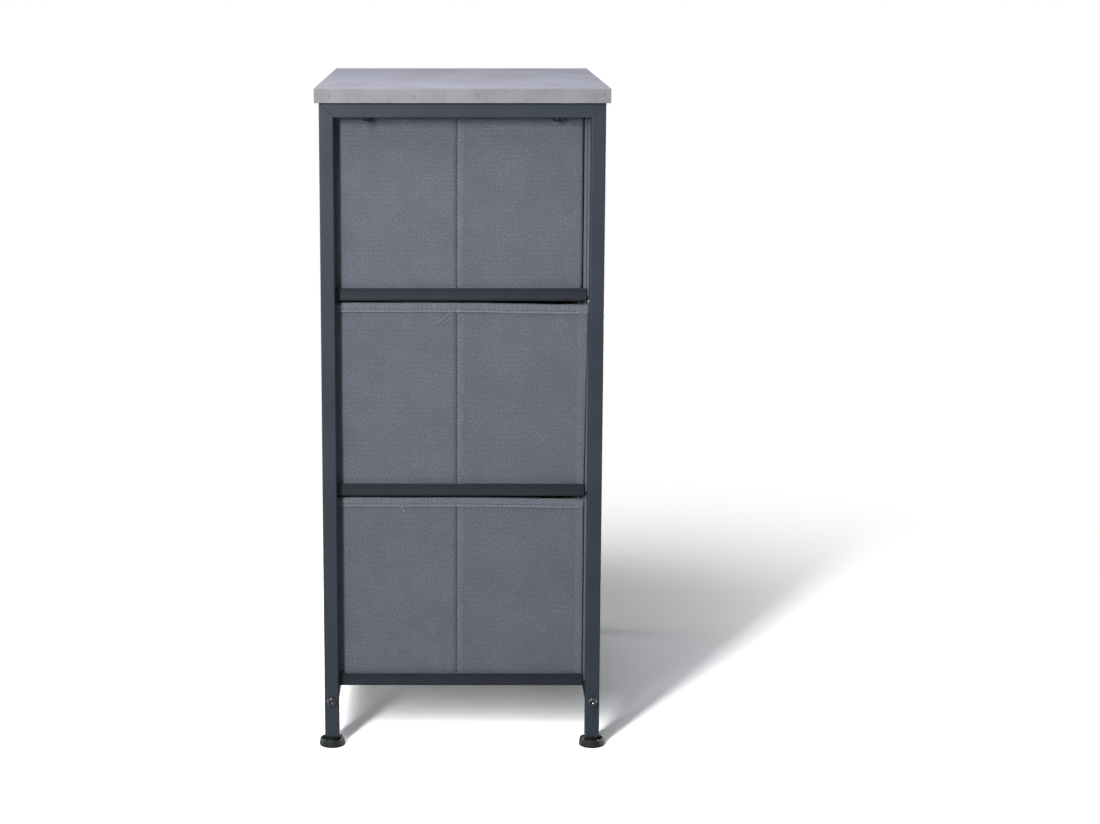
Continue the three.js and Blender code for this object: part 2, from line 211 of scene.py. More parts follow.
class Effect(Enum):
    """Surface effects that several finishes share: the group's name, its inputs and its outputs."""

    DRIFT = ("slow tone drift", "Vector Size Dark Light", "Color Mask")
    GRAIN = ("fine surface grain", "Vector Size", "Height")
    EMBOSS = ("embossed cloth", "Vector Pitch Fibre", "Height Shade")
    SPECKS = ("scattered specks", "Vector Size Amount", "Mask")

    @property
    def tree(self) -> bpy.types.NodeTree:
        """The effect's node group, built at its first use."""
        title, takes, gives = self.value
        return bpy.data.node_groups.get(title) or self._build(title, takes.split(), gives.split())

    def _build(self, title: str, takes: list[str], gives: list[str]) -> bpy.types.NodeTree:
        """Make the node group.

        Args:
            title: The group's name.
            takes: Its inputs' names.
            gives: Its outputs' names.

        Returns:
            The group.
        """
        kinds = {"Vector": "Vector", "Dark": "Color", "Light": "Color", "Color": "Color"}
        tree = bpy.data.node_groups.new(title, "ShaderNodeTree")
        for way, names in (("INPUT", takes), ("OUTPUT", gives)):
            for name in names:
                kind = "NodeSocket" + kinds.get(name, "Float")
                tree.interface.new_socket(name, in_out=way, socket_type=kind)
        wiring = Wiring(tree)
        source = tree.nodes.new("NodeGroupInput").outputs
        target = tree.nodes.new("NodeGroupOutput")
        for name, socket in getattr(self, "_" + self.name.lower())(wiring, source).items():
            wiring.feed(target, name, socket)
        return tree

    @staticmethod
    def _cells(wiring: Wiring, source: dict[str, Socket]) -> Socket:
        """Count a position in the group's own size."""
        per_metre = wiring.sum("DIVIDE", 1.0, source["Size"])
        return wiring.node("VectorMath", source["Vector"], operation="SCALE", Scale=per_metre).outputs[0]

    def _drift(self, wiring: Wiring, source: dict[str, Socket]) -> dict[str, Socket]:
        """Wander slowly between two colours."""
        mask = wiring.remap(wiring.noise(self._cells(wiring, source), 1.0, 3.0, 0.55), 0.3, 0.7)
        return {"Color": wiring.blend(mask, source["Dark"], source["Light"]), "Mask": mask}

    def _grain(self, wiring: Wiring, source: dict[str, Socket]) -> dict[str, Socket]:
        """Lay an even, fine roughness over a surface."""
        return {"Height": wiring.remap(wiring.noise(self._cells(wiring, source), 1.0, 2.0), 0.25, 0.75)}

    def _emboss(self, wiring: Wiring, source: dict[str, Socket]) -> dict[str, Socket]:
        """Press slanting rows of small dimples into felted cloth, stronger in some places than in others.

        Args:
            wiring: The group's wiring.
            source: The group's inputs.

        Returns:
            The height, and a painted shade that follows it: low in the dimples, where the cloth's colour is
            painted darker.
        """
        where, total = source["Vector"], wiring.sum
        apart = wiring.node("SeparateXYZ", Vector=where)
        sway = total("MULTIPLY", wiring.noise(where, 160.0, 1.0), total("MULTIPLY", source["Pitch"], 2.2))
        across, steep = total("ADD", apart.outputs[0], sway), total("MULTIPLY", apart.outputs[1], 0.8)
        per_cell = total("DIVIDE", TURN, source["Pitch"])
        rising, falling = (
            total("SINE", total("MULTIPLY", total(way, across, steep), per_cell))
            for way in ("ADD", "SUBTRACT")
        )
        strength = wiring.remap(wiring.noise(where, 70.0, 2.0), 0.35, 0.6, 0.35, 1.0)
        dimples = wiring.remap(total("MULTIPLY", total("MULTIPLY", rising, falling), strength), -1.0, 1.0)
        fibres = wiring.remap(wiring.noise(where, 620.0, 4.0, 0.65), 0.3, 0.7)
        height = total("ADD", dimples, total("MULTIPLY", fibres, source["Fibre"]))
        return {"Height": height, "Shade": wiring.remap(height, 0.1, 1.5)}

    def _specks(self, wiring: Wiring, source: dict[str, Socket]) -> dict[str, Socket]:
        """Scatter small dark marks, most cells having none.

        Args:
            wiring: The group's wiring.
            source: The group's inputs.

        Returns:
            The marks' mask.
        """
        cells = self._cells(wiring, source)
        dots = wiring.node("TexVoronoi", Vector=cells, Scale=1.0, Randomness=1.0).outputs
        chosen = wiring.node("SeparateColor", Color=dots["Color"]).outputs[0]
        rare = wiring.sum("LESS_THAN", chosen, source["Amount"])
        return {"Mask": wiring.sum("MULTIPLY", rare, wiring.remap(dots["Distance"], 0.08, 0.34, 1.0, 0.0))}


class Surface(Wiring):
    """A material while it is wired: its principled shader and what its pattern follows."""

    def __init__(self, name: str, flat_cut: bool = False) -> None:
        """Start a material.

        Args:
            name: The material's name.
            flat_cut: Whether its pattern follows the cloth's flat cut and not the piece's own space.
        """
        self.material = bpy.data.materials.new(name)
        self.material.use_nodes = True
        super().__init__(self.material.node_tree)
        self.shader = self.node("BsdfPrincipled")
        self.node("OutputMaterial", Surface=self.shader.outputs[0])
        if flat_cut:
            self.where = self.node("Attribute", attribute_name=CUT).outputs["Vector"]
        else:
            self.where = self.node("TexCoord").outputs["Object"]

    def effect(self, effect: Effect, **inputs: object) -> dict[str, Socket]:
        """Place a shared effect.

        Args:
            effect: The effect.
            inputs: Values or sockets for its inputs.

        Returns:
            Its outputs.
        """
        node = self.tree.nodes.new("ShaderNodeGroup")
        node.node_tree = effect.tree
        for name, value in {"Vector": self.where, **inputs}.items():
            self.feed(node, name, value)
        return node.outputs

    def wear(self, grain: Socket, depth: float, strength: float, **inputs: object) -> bpy.types.Material:
        """Set the shader's inputs and its relief.

        Args:
            grain: The relief's height, from 0 to about 1.
            depth: The relief's depth.
            strength: How strongly it shows, from 0 to 1.
            inputs: Values or sockets for the shader's inputs, with underscores for spaces.

        Returns:
            The finished material.
        """
        bump = self.node("Bump", Strength=strength, Distance=depth, Height=grain).outputs[0]
        for name, value in {**inputs, "Normal": bump}.items():
            self.feed(self.shader, name.replace("_", " "), value)
        return self.material


@dataclass(frozen=True)
class Coat:
    """What every finish has: its name and the two tones between which its colour drifts."""

    name: str
    dark: Tone
    light: Tone

    def tone(self, surface: Surface, size: float) -> Socket:
        """The drifting colour, its patches being size wide."""
        tones = {"Dark": paint(*self.dark), "Light": paint(*self.light)}
        return surface.effect(Effect.DRIFT, Size=size, **tones)["Color"]


@dataclass(frozen=True)
class Cloth(Coat):
    """Felted, embossed polyester cloth, its colour painted darker in the emboss's dimples and lighter on its
    ridges: painted shade that follows the relief.
    """

    pitch: float = 2.1 * MM
    fibre: float = 0.7
    depth: float = 0.24 * MM
    strength: float = 0.85
    patch: float = 0.045
    # How dark the painted shade in the emboss's dimples is, as a share of the dark tone.
    hollow: float = 0.66

    def material(self) -> bpy.types.Material:
        """Build the cloth's material.

        Returns:
            The material.
        """
        cloth = Surface(self.name, True)
        press = cloth.effect(Effect.EMBOSS, Pitch=self.pitch, Fibre=self.fibre)
        # Painted shade: the colour runs to the darker hollow tone in the dimples and a little past the
        # drifting tone on the ridges.
        hollow = paint(*(round(value * self.hollow) for value in self.dark))
        share = cloth.remap(press["Shade"], 0.05, 0.95, 0.85, -0.15)
        return cloth.wear(
            press["Height"], self.depth, self.strength,
            Base_Color=cloth.blend(share, self.tone(cloth, self.patch), hollow),
            Roughness=cloth.remap(press["Shade"], 0.0, 1.0, 0.95, 0.8),
            Specular_IOR_Level=0.25, Sheen_Weight=0.12, Sheen_Roughness=0.5,
        )


@dataclass(frozen=True)
class Plain(Coat):
    """Moulded plastic, thread or blackened steel: an even colour and a faint grain."""

    roughness: float
    metallic: float = 0.0
    patch: float = 6 * MM
    grain: float = 0.5 * MM
    spread: float = 0.15
    depth: float = 0.02 * MM
    strength: float = 0.4
    specular: float = 0.5

    def material(self) -> bpy.types.Material:
        """Build the material.

        Returns:
            The material.
        """
        skin = Surface(self.name)
        grain = skin.effect(Effect.GRAIN, Size=self.grain)["Height"]
        low, high = self.roughness * (1 - self.spread), self.roughness * (1 + self.spread)
        return skin.wear(
            grain, self.depth, self.strength, Base_Color=self.tone(skin, self.patch), Metallic=self.metallic,
            Roughness=skin.remap(grain, 0.0, 1.0, low, high), Specular_IOR_Level=self.specular,
        )


@dataclass(frozen=True)
class PowderCoat(Plain):
    """Baked powder paint on steel, with its fine orange peel."""

    patch: float = 0.06
    grain: float = 0.9 * MM
    spread: float = 0.12
    depth: float = 0.05 * MM
    strength: float = 0.35
    specular: float = 0.4


@dataclass(frozen=True)
class PressedBoard(Plain):
    """Raw fibreboard or greyboard, with its mottled chips and dull face."""

    roughness: float = 0.875
    patch: float = 4 * MM
    grain: float = 0.7 * MM
    spread: float = 0.075 / 0.875
    depth: float = 0.08 * MM


@dataclass(frozen=True)
class Laminate(Coat):
    """Printed concrete-look laminate with soft clouds, faint streaks and small dark specks."""

    speck: Tone
    speck_amount: float
    cloud: float = 0.07
    upright: float = 1.0
    stretch: float = 0.35
    tear: float = 1.6 * MM

    def material(self) -> bpy.types.Material:
        """Build the laminate's material.

        Returns:
            The material.
        """
        face = Surface(self.name)
        long = face.node("Mapping", Vector=face.where, Scale=(self.stretch, 1.0, 1.0)).outputs[0]
        streak = face.remap(face.noise(long, 95.0, 4.0, 0.65), 0.52, 0.78, 0.0, 0.35)
        ragged = face.node("TexNoise", Vector=face.where, Scale=700.0, Detail=2.0).outputs["Color"]
        torn = face.node("VectorMath", ragged, operation="SCALE", Scale=self.tear).outputs[0]
        shaken = face.node("VectorMath", face.where, torn, operation="ADD").outputs[0]
        tall = face.node("Mapping", Vector=shaken, Scale=(1.0, 1.0, self.upright)).outputs[0]
        specks, dust = (
            face.effect(Effect.SPECKS, Vector=tall, Size=size * MM, Amount=self.speck_amount)["Mask"]
            for size in (5.5, 2.3)
        )
        marks = face.sum("MAXIMUM", specks, face.sum("MULTIPLY", dust, 0.6))
        shade = face.sum("MAXIMUM", streak, face.sum("MULTIPLY", marks, 0.55))
        grain = face.effect(Effect.GRAIN, Size=1.3 * MM)["Height"]
        return face.wear(
            grain, 0.03 * MM, 0.25, Roughness=face.remap(grain, 0.0, 1.0, 0.5, 0.62),
            Base_Color=face.blend(shade, self.tone(face, self.cloud), paint(*self.speck)),
        )


class Finish(Enum):
    """Every finish on the dresser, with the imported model's slot that it stands for."""

    BOARD_FACE = "laminate_board", Laminate(
        "board face", (179, 178, 192), (192, 193, 211), (154, 150, 161), 0.05
    )
    # The edge band's tones are the face's laminate painted darker: painted shade on the board's upright
    # edges. Its own specks and streaks are the print's.
    BOARD_EDGE = "laminate_board", Laminate(
        "board edge band", (142, 142, 147), (153, 153, 160), (106, 102, 102), 0.16, 0.03, 0.45
    )
    FRAME = "frame_paint", PowderCoat("frame powder coat", (51, 59, 69), (56, 65, 77), 0.44)
    # The runners' coat is the frame's powder coat painted darker: painted shade for the runners set back
    # between the legs.
    RUNNER = "runner_paint", PowderCoat("runner powder coat", (34, 39, 48), (38, 43, 53), 0.5)
    # Two copies of one blackened steel: the stretcher bolts' is painted lighter, for the light on their
    # heads, and the board screws' darker, for the shade on their heads under the top tube.
    SCREW = "black_screw", Plain("blackened screw", (88, 90, 95), (104, 106, 111), 0.26, 0.7)
    BOARD_SCREW = "black_screw", Plain("blackened board screw", (46, 48, 53), (56, 58, 63), 0.17, 0.7)
    FOOT = "foot_plastic", Plain("foot plastic", (28, 32, 33), (36, 41, 42), 0.42)
    CLOTH = "bin_fabric", Cloth("bin cloth", (118, 122, 134), (123, 128, 141))
    LINING = "lining_fabric", Cloth("bin lining", (132, 136, 145), (139, 143, 153), 1.7 * MM, 0.9)
    BINDING = "binding_fabric", Cloth("rim binding", (130, 135, 145), (137, 142, 153), 1.8 * MM, 0.8)
    # The pleat's cloth is the wall's painted lighter: painted light on the seam's slope that faces the key
    # lamp.
    PLEAT = "binding_fabric", Cloth("pinched pleat", (124, 128, 140), (130, 134, 146), 1.8 * MM, 0.8)
    # The sewing threads are their own grey painted darker: painted shade for the dimples that the needle
    # presses round each stitch, and on the fold seam for the shade in its groove.
    THREAD = "binding_fabric", Plain("sewing thread", (58, 61, 69), (74, 77, 86), 0.8)
    SEAM_THREAD = "binding_fabric", Plain("fold seam thread", (48, 50, 58), (58, 61, 69), 0.85)
    # The overlock thread's own grey is painted paler: painted highlight for the light caught along the tape's
    # lower edge. The frayed end and the lap's overlock share it.
    EDGE_THREAD = "binding_fabric", Plain("overlock thread", (150, 156, 166), (166, 172, 182), 0.8)
    STRAP = "pull_strap", Cloth(
        "strap webbing", (98, 102, 112), (106, 110, 120), 1.4 * MM, 0.5, 0.22 * MM, 0.7
    )
    GREYBOARD = "greyboard", PressedBoard("greyboard", (146, 139, 130), (164, 157, 147))
    FIBREBOARD = "fibreboard", PressedBoard("fibreboard", (156, 127, 95), (178, 149, 114), patch=3 * MM)

    @property
    def material(self) -> bpy.types.Material:
        """The finish's material, built at its first use."""
        recipe = self.value[1]
        return bpy.data.materials.get(recipe.name) or recipe.material()


class Draft:
    """The points and faces of one piece while it is drawn."""

    def __init__(
        self,
        rings: Sequence[Sequence[Vector]] = (),
        around: Sequence[float] | None = None,
        along: Sequence[float] | None = None,
        caps: tuple[bool, bool] = (True, True),
    ) -> None:
        """Start with nothing drawn, or with rings joined by quads.

        Args:
            rings: Closed rings of points, all with the same count.
            around: The cloth's flat distance of each point round a ring, and of the first one again.
            along: The cloth's flat distance of each ring.
            caps: Whether the first and the last ring are closed with a face.
        """
        self.points: list[Vector] = []
        self.faces: list[tuple[int, ...]] = []
        self.cuts: list[tuple[tuple[float, float], ...]] = []
        if rings:
            self.skin(rings, around, along, caps)

    def face(self, corners: Iterable[int], cut: Iterable[tuple[float, float]]) -> None:
        """Add one face from its points' numbers and the cloth's flat coordinates at them."""
        self.faces.append(tuple(corners))
        self.cuts.append(tuple(cut))

    def skin(self, rings: Sequence, around: Sequence | None, along: Sequence | None, caps: tuple) -> None:
        """Add rings joined by quads, as the draft's start takes them.

        Args:
            rings: The rings.
            around: The flat distances round a ring.
            along: The flat distance of each ring.
            caps: Which ends are closed.
        """
        start, count = len(self.points), len(rings[0])
        around = around or [0.0] * (count + 1)
        along = along or [0.0] * len(rings)
        for ring_points in rings:
            self.points.extend(ring_points)
        for level in range(len(rings) - 1):
            low, high = along[level], along[level + 1]
            for i in range(count):
                a, b = (start + level * count + k % count for k in (i, i + 1))
                near, far = around[i], around[i + 1]
                self.face((a, b, b + count, a + count), ((near, low), (far, low), (far, high), (near, high)))
        last = start + (len(rings) - 1) * count
        flats = [[(point.x, point.y) for point in ring_points] for ring_points in (rings[0], rings[-1])]
        if caps[0]:
            self.face(reversed(range(start, start + count)), flats[0][::-1])
        if caps[1]:
            self.face(range(last, last + count), flats[1])

    def move(self, change: Matrix | Callable[[Vector], Vector]) -> "Draft":
        """Move every point.

        Args:
            change: The matrix, or what gives each point's new place.

        Returns:
            This draft.
        """
        shift = change.__matmul__ if isinstance(change, Matrix) else change
        self.points = [shift(point) for point in self.points]
        return self

    def join(self, other: "Draft") -> "Draft":
        """Add another draft's points and faces.

        Args:
            other: The other draft.

        Returns:
            This draft.
        """
        start = len(self.points)
        self.points.extend(other.points)
        self.faces.extend(tuple(start + i for i in face) for face in other.faces)
        self.cuts.extend(other.cuts)
        return self

    def piece(
        self,
        name: str,
        finish: Finish,
        body: str = "frame",
        replaces: Sequence[str] = (),
        sharp: float = 40.0,
        thickness: float = 0.0,
        rigid: bool = True,
    ) -> bpy.types.Object:
        """Turn the draft into a finished object that rides on a body.

        Args:
            name: The piece's name.
            finish: Its finish.
            body: The body that it moves with.
            replaces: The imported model's nodes that it stands for.
            sharp: The angle in degrees above which an edge stays sharp.
            thickness: How far the surface is thickened inwards.
            rigid: Whether its flat faces stay flat to the light and only its rounded edges turn.

        Returns:
            The object.
        """
        mesh = bpy.data.meshes.new(name)
        mesh.from_pydata([tuple(point) for point in self.points], [], self.faces)
        layer = mesh.attributes.new(CUT, "FLOAT_VECTOR", "CORNER")
        layer.data.foreach_set("vector", [part for cut in self.cuts for at in cut for part in (*at, 0.0)])
        work = bmesh.new()
        work.from_mesh(mesh)
        bmesh.ops.recalc_face_normals(work, faces=work.faces)
        work.to_mesh(mesh)
        work.free()
        mesh.shade_smooth()
        mesh.set_sharp_from_angle(angle=math.radians(sharp))
        mesh.materials.append(finish.material)
        made = bpy.data.objects.new(name, mesh)
        bpy.context.scene.collection.objects.link(made)
        if thickness:
            shell = made.modifiers.new("cloth thickness", "SOLIDIFY")
            shell.thickness, shell.offset = thickness, -1
        elif rigid:
            made.modifiers.new("flat faces", "WEIGHTED_NORMAL").keep_sharp = True
        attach(made, body)
        if replaces:
            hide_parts(*replaces)
        log.info("%s: %d points on %s", name, len(self.points), body)
        return made


def ring(
    radius: float, height: float, sides: int, reach: Callable[[float], float] = lambda _: 1.0
) -> list[Vector]:
    """Points round the Z axis.

    Args:
        radius: Their distance from the axis.
        height: Their height.
        sides: How many there are.
        reach: A share of the radius for each angle, for rings that aren't round.

    Returns:
        The points.
    """
    angles = [TURN * i / sides for i in range(sides)]
    return [
        Vector((radius * reach(a) * math.cos(a), radius * reach(a) * math.sin(a), height)) for a in angles
    ]


def marks(low: float, high: float, radius: float, step: float, rounds: int = 3) -> list[float]:
    """Grid lines along one side of a rounded box, close together at its rounded edges.

    Args:
        low: The side's start.
        high: Its end.
        radius: The edges' radius.
        step: The widest space between lines.
        rounds: Lines in half of a rounded edge.

    Returns:
        The places of the lines.
    """
    edge = [radius - radius * math.tan(QUARTER / 2 * i / rounds) for i in range(rounds, 0, -1)]
    span = high - low - 2 * radius
    count = max(1, math.ceil(span / step))
    inner = [low + radius + span * i / count for i in range(count + 1)]
    return [low + value for value in edge] + inner + [high - value for value in reversed(edge)]


def rounded_box(
    low: Vector, high: Vector, radius: float, steps: Sequence[float] = (0.05, 0.05, 0.05)
) -> Draft:
    """A box with rounded edges, drawn as six grids that share their borders.

    Args:
        low: The lowest corner.
        high: The highest corner.
        radius: The edges' radius.
        steps: The widest space between grid lines along X, Y and Z.

    Returns:
        The draft.
    """
    draft, known = Draft(), {}
    lines = [marks(low[axis], high[axis], radius, steps[axis]) for axis in range(3)]

    def number(place: list[float]) -> int:
        """Find or add a point of the rounded surface.

        Args:
            place: Its place on the sharp box.

        Returns:
            Its number in the draft.
        """
        key = tuple(round(value * 1e7) for value in place)
        if key not in known:
            core = Vector(min(max(v, a + radius), b - radius) for v, a, b in zip(place, low, high))
            known[key] = len(draft.points)
            draft.points.append(core + (Vector(place) - core).normalized() * radius)
        return known[key]

    for axis in range(3):
        first, second = (other for other in range(3) if other != axis)
        for level in (low[axis], high[axis]):
            for i in range(len(lines[first]) - 1):
                for j in range(len(lines[second]) - 1):
                    corners, cut = [], []
                    for a, b in ((i, j), (i + 1, j), (i + 1, j + 1), (i, j + 1)):
                        place = [level] * 3
                        place[first], place[second] = lines[first][a], lines[second][b]
                        corners.append(number(place))
                        cut.append((place[first], place[second]))
                    draft.face(corners, cut)
    return draft


def rod(path: Sequence[Vector], radii: Sequence[float], sides: int = 6) -> Draft:
    """A closed rod along a path of points.

    Args:
        path: The points.
        radii: The rod's radius at each.
        sides: How many sides it has.

    Returns:
        The draft.
    """
    rings = []
    for i, point in enumerate(path):
        ahead = path[min(i + 1, len(path) - 1)] - path[max(i - 1, 0)]
        turn = ahead.to_track_quat("Z", "Y").to_matrix()
        rings.append([point + turn @ spoke for spoke in ring(radii[i], 0.0, sides)])
    return Draft(rings)


def bead(start: Vector, end: Vector, radius: float, seed: int) -> Draft:
    """A short weld bead with its row of ripples.

    Args:
        start: Where the bead starts.
        end: Where it ends.
        radius: Its mean radius.
        seed: What sets its ripples.

    Returns:
        The draft.
    """
    chance = Random(seed)
    count = max(6, round((end - start).length / (0.45 * MM)))
    path, radii = [], []
    for i in range(count + 1):
        share = i / count
        swell = math.sin(math.pi * min(1.0, max(0.04, share))) ** 0.4
        ripple = 1 + 0.12 * math.sin(1.6 * i) + chance.uniform(-0.05, 0.05)
        path.append(start.lerp(end, share))
        radii.append(radius * max(0.25, swell) * ripple)
    return rod(path, radii, 8)


@dataclass(frozen=True)
class Stitches:
    """A line of sewing thread lying in cloth."""

    length: float = 3.4 * MM
    gap: float = 1.1 * MM
    radius: float = 0.24 * MM
    lift: float = 0.16 * MM

    def along(self, path: Sequence[Vector], outward: Sequence[Vector]) -> Draft:
        """Sew along a line of points.

        Args:
            path: The line on the cloth.
            outward: The direction away from the cloth at each point.

        Returns:
            The draft of all the stitches.
        """
        reach = running(path)

        def read(place: float) -> tuple[Vector, Vector]:
            """Read the line at a distance from its start.

            Args:
                place: The distance.

            Returns:
                The point there and the direction away from the cloth.
            """
            spot = next((i for i in range(1, len(reach)) if reach[i] >= place), len(reach) - 1)
            share = (place - reach[spot - 1]) / max(1e-9, reach[spot] - reach[spot - 1])
            return tuple(line[spot - 1].lerp(line[spot], share) for line in (path, outward))

        draft, place, thin = Draft(), self.gap / 2, self.radius * 0.7
        while place + self.length < reach[-1]:
            first, away = read(place)
            last, rise = read(place + self.length)[0], self.lift * away
            line = [first - rise, first.lerp(last, 0.2) + rise, first.lerp(last, 0.8) + rise, last - rise]
            draft.join(rod(line, [thin, self.radius, self.radius, thin], 5))
            place += self.length + self.gap
        return draft


@dataclass(frozen=True)
class Temper:
    """What tells one bin's cloth from the next."""

    seed: float
    rear_lift: float
    front_drop: float
    crease: bool = False
    loose_thread: bool = False
    lap: tuple[float, float] = (0.0, 0.0)


class Tier(Word):
    """The three rows of the dresser, with the temper of each row's bin."""

    BOTTOM = Temper(1.3, 0.9 * MM, 0.5 * MM, loose_thread=True, lap=(3.3 * MM, 3.1 * MM))
    MIDDLE = Temper(4.6, 0.9 * MM, 0.9 * MM, crease=True, lap=(3.0 * MM, 6.0 * MM))
    TOP = Temper(8.2, 0.0, 0.6 * MM)


@dataclass
class TopBoard:
    """The laminated board: a flat panel between four thin edge bands."""

    band: float = 0.7 * MM
    seat: float = 0.02 * MM
    face_radius: float = 0.12 * MM
    band_radius: float = 0.33 * MM

    def build(self) -> None:
        """Make the panel and its bands."""
        low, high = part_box("top_board")
        inset, thin = Vector((self.band, self.band, 0)), self.band - self.seat
        left, right = (low + inset).x, (high - inset).x
        panel = rounded_box(low + inset, high - inset, self.face_radius)
        panel.piece("top_board_panel", Finish.BOARD_FACE, replaces=["top_board"], sharp=30)
        bands = {
            "left": (low.x, low.y, low.x + thin, high.y),
            "right": (high.x - thin, low.y, high.x, high.y),
            "front": (left, low.y, right, low.y + thin),
            "rear": (left, high.y - thin, right, high.y),
        }
        for name, (x, y, far_x, far_y) in bands.items():
            strip = rounded_box((x, y, low.z), (far_x, far_y, high.z), self.band_radius)
            # The bands take the darker laminate: painted shade on the upright edges.
            strip.piece(f"top_board_{name}_edge_band", Finish.BOARD_EDGE)


@dataclass
class SideFrame:
    """One side frame: two legs and a top tube of rounded square section, welded at mitred corners."""

    side: Side
    corner: float = 1.5 * MM
    corner_steps: int = 6
    groove: float = 0.38 * MM
    groove_depth: float = 0.3 * MM
    end_round: float = 0.4 * MM
    bead_radius: float = 0.9 * MM

    def __post_init__(self) -> None:
        """Read the frame's own size."""
        self.node = f"{self.side.word}_side_frame"
        self.low, self.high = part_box(self.node)
        self.size = self.high.x - self.low.x
        self.middle = (self.low + self.high) / 2
        self.half = self.size / 2
        self.reach = self.high.y - self.middle.y - self.half

    def tube(self, levels: Sequence[tuple[float, Callable[[float], tuple[float, float]]]]) -> Draft:
        """Carry the tube's section through levels.

        Args:
            levels: How far the section is drawn in at each, and what turns a distance outwards into Y and Z.

        Returns:
            The draft.
        """
        reach, rings = self.half - self.corner, []
        for inset, place in levels:
            scale, points = 1 - inset / self.half, []
            for quarter, (across, out) in enumerate(((1, 1), (-1, 1), (-1, -1), (1, -1))):
                for step in range(self.corner_steps + 1):
                    angle = QUARTER * (quarter + step / self.corner_steps)
                    x = scale * (across * reach + self.corner * math.cos(angle))
                    b = scale * (out * reach + self.corner * math.sin(angle))
                    points.append(Vector((self.middle.x + x, *place(b))))
            rings.append(points)
        return Draft(rings)

    def leg(self, end: End) -> Draft:
        """Draw one leg, from its foot to its mitre.

        Args:
            end: Which leg.

        Returns:
            The draft.
        """
        y, up = self.middle.y + end.value * self.reach, self.end_round
        top = self.high.z - self.half
        foot = [
            (inset, lambda b, rise=rise: (y + end.value * b, self.low.z + rise))
            for inset, rise in ((up, 0.0), (0.3 * up, 0.3 * up), (0.0, up))
        ]
        mitre = [
            (inset, lambda b, back=back: (y + end.value * b, top + b - back))
            for inset, back in ((0.0, self.groove), (self.groove_depth, 0.0))
        ]
        return self.tube(foot + mitre)

    def top_tube(self) -> Draft:
        """Draw the tube along the top, between its two mitres.

        Returns:
            The draft.
        """
        mitre, top = ((self.groove_depth, 0.0), (0.0, self.groove)), self.high.z - self.half
        return self.tube([
            (inset, lambda b, end=end, back=back: (self.middle.y + end * (self.reach + b - back), top + b))
            for end, levels in ((1, mitre), (-1, mitre[::-1]))
            for inset, back in levels
        ])

    def build(self) -> None:
        """Make the tubes and their weld beads."""
        draft = self.leg(End.FRONT).join(self.leg(End.REAR)).join(self.top_tube())
        draft.piece(f"{self.node}_tubes", Finish.FRAME, replaces=[self.node], sharp=50)
        welds, inner = Draft(), self.high.y - self.size
        for end in End:
            y = self.middle.y + end.value * (inner - self.middle.y)
            near, far = self.low.x + self.corner, self.high.x - self.corner
            start, stop = (Vector((x, y, self.high.z - self.size)) for x in (near, far))
            welds.join(bead(start, stop, self.bead_radius, 11 + end.value))
        welds.piece(f"{self.node}_welds", Finish.FRAME)


@dataclass
class Runner:
    """A folded angle runner with a rear stop, welded between the legs."""

    side: Side
    tier: Tier
    sheet: float = 1.5 * MM
    notch: float = 2.5 * MM
    fold_outside: float = 2.2 * MM
    edge: float = 0.25 * MM
    bow: float = 0.3 * MM
    stop_height: float = 12 * MM
    bead_radius: float = 0.75 * MM

    def profile(self, height: float, shelf: float) -> list[tuple[float, float]]:
        """The folded sheet's section, inwards and upwards from the fold's outer corner.

        Args:
            height: The web's height.
            shelf: The shelf's width.

        Returns:
            Its points.
        """
        fold, sheet, edge, points = self.fold_outside, self.sheet, self.edge, []
        arcs = (
            (fold, fold, fold, 180, 270), (shelf - edge, edge, edge, -90, 0),
            (shelf - edge, sheet - edge, edge, 0, 90), (fold, fold, fold - sheet, 270, 180),
            (sheet - edge, height - edge, edge, 0, 90), (edge, height - edge, edge, 90, 180),
        )
        for x, z, radius, start, stop in arcs:
            for i in range(5):
                angle = math.radians(start + (stop - start) * i / 4)
                points.append((x + radius * math.cos(angle), z + radius * math.sin(angle)))
        drop = fold + edge - height
        hollow = [(self.bow * i * (6 - i) / 9, height - edge + drop * i / 6) for i in range(1, 6)]
        return points + hollow

    def build(self) -> None:
        """Make the runner and its weld beads."""
        node = f"{self.side.word}_{self.tier.word}_runner"
        (low, high), (frame_low, frame_high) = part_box(node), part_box(f"{self.side.word}_side_frame")
        tube, wide, inward = frame_high.x - frame_low.x, high.x - low.x, -self.side.value
        outer = low.x if self.side is Side.LEFT else high.x
        front, back = low.y + self.notch, frame_high.y - tube - TOUCH
        section = self.profile(high.z - low.z, wide)
        fold = Draft([
            [Vector((outer + inward * x, y, low.z + z)) for x, z in section] for y in (front, back)
        ])
        plates = (
            (self.fold_outside, low.y, front + self.notch, self.sheet),
            (self.sheet + TOUCH, back - self.sheet, high.y, self.sheet),
            (self.sheet + TOUCH, high.y - self.sheet, high.y, self.stop_height),
        )
        for start, near_y, far_y, tall in plates:
            near, far = sorted((outer + inward * start, outer + inward * wide))
            fold.join(rounded_box((near, near_y, low.z), (far, far_y, low.z + tall), self.edge))
        # Its finish is the frame's coat painted darker: painted shade for the runner's recess.
        fold.piece(f"{node}_fold", Finish.RUNNER, replaces=[node], sharp=35)
        welds, x = Draft(), outer + inward * self.sheet * 0.3
        for number, y in enumerate((frame_low.y + tube + 0.5 * MM, frame_high.y - tube - 0.4 * MM)):
            start, stop = (Vector((x, y, low.z + z * MM)) for z in (1.2, 6.2))
            welds.join(bead(start, stop, self.bead_radius, round(low.z * 1e4) + number))
        welds.piece(f"{node}_welds", Finish.RUNNER)


@dataclass
class Stretcher:
    """A flat tube between the side frames, low down."""

    end: End
    radius: float = 1.3 * MM

    def build(self) -> None:
        """Make the stretcher."""
        node = f"{self.end.word}_stretcher"
        bar = rounded_box(*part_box(node), self.radius)
        bar.piece(f"{node}_tube", Finish.FRAME, replaces=[node], sharp=50)


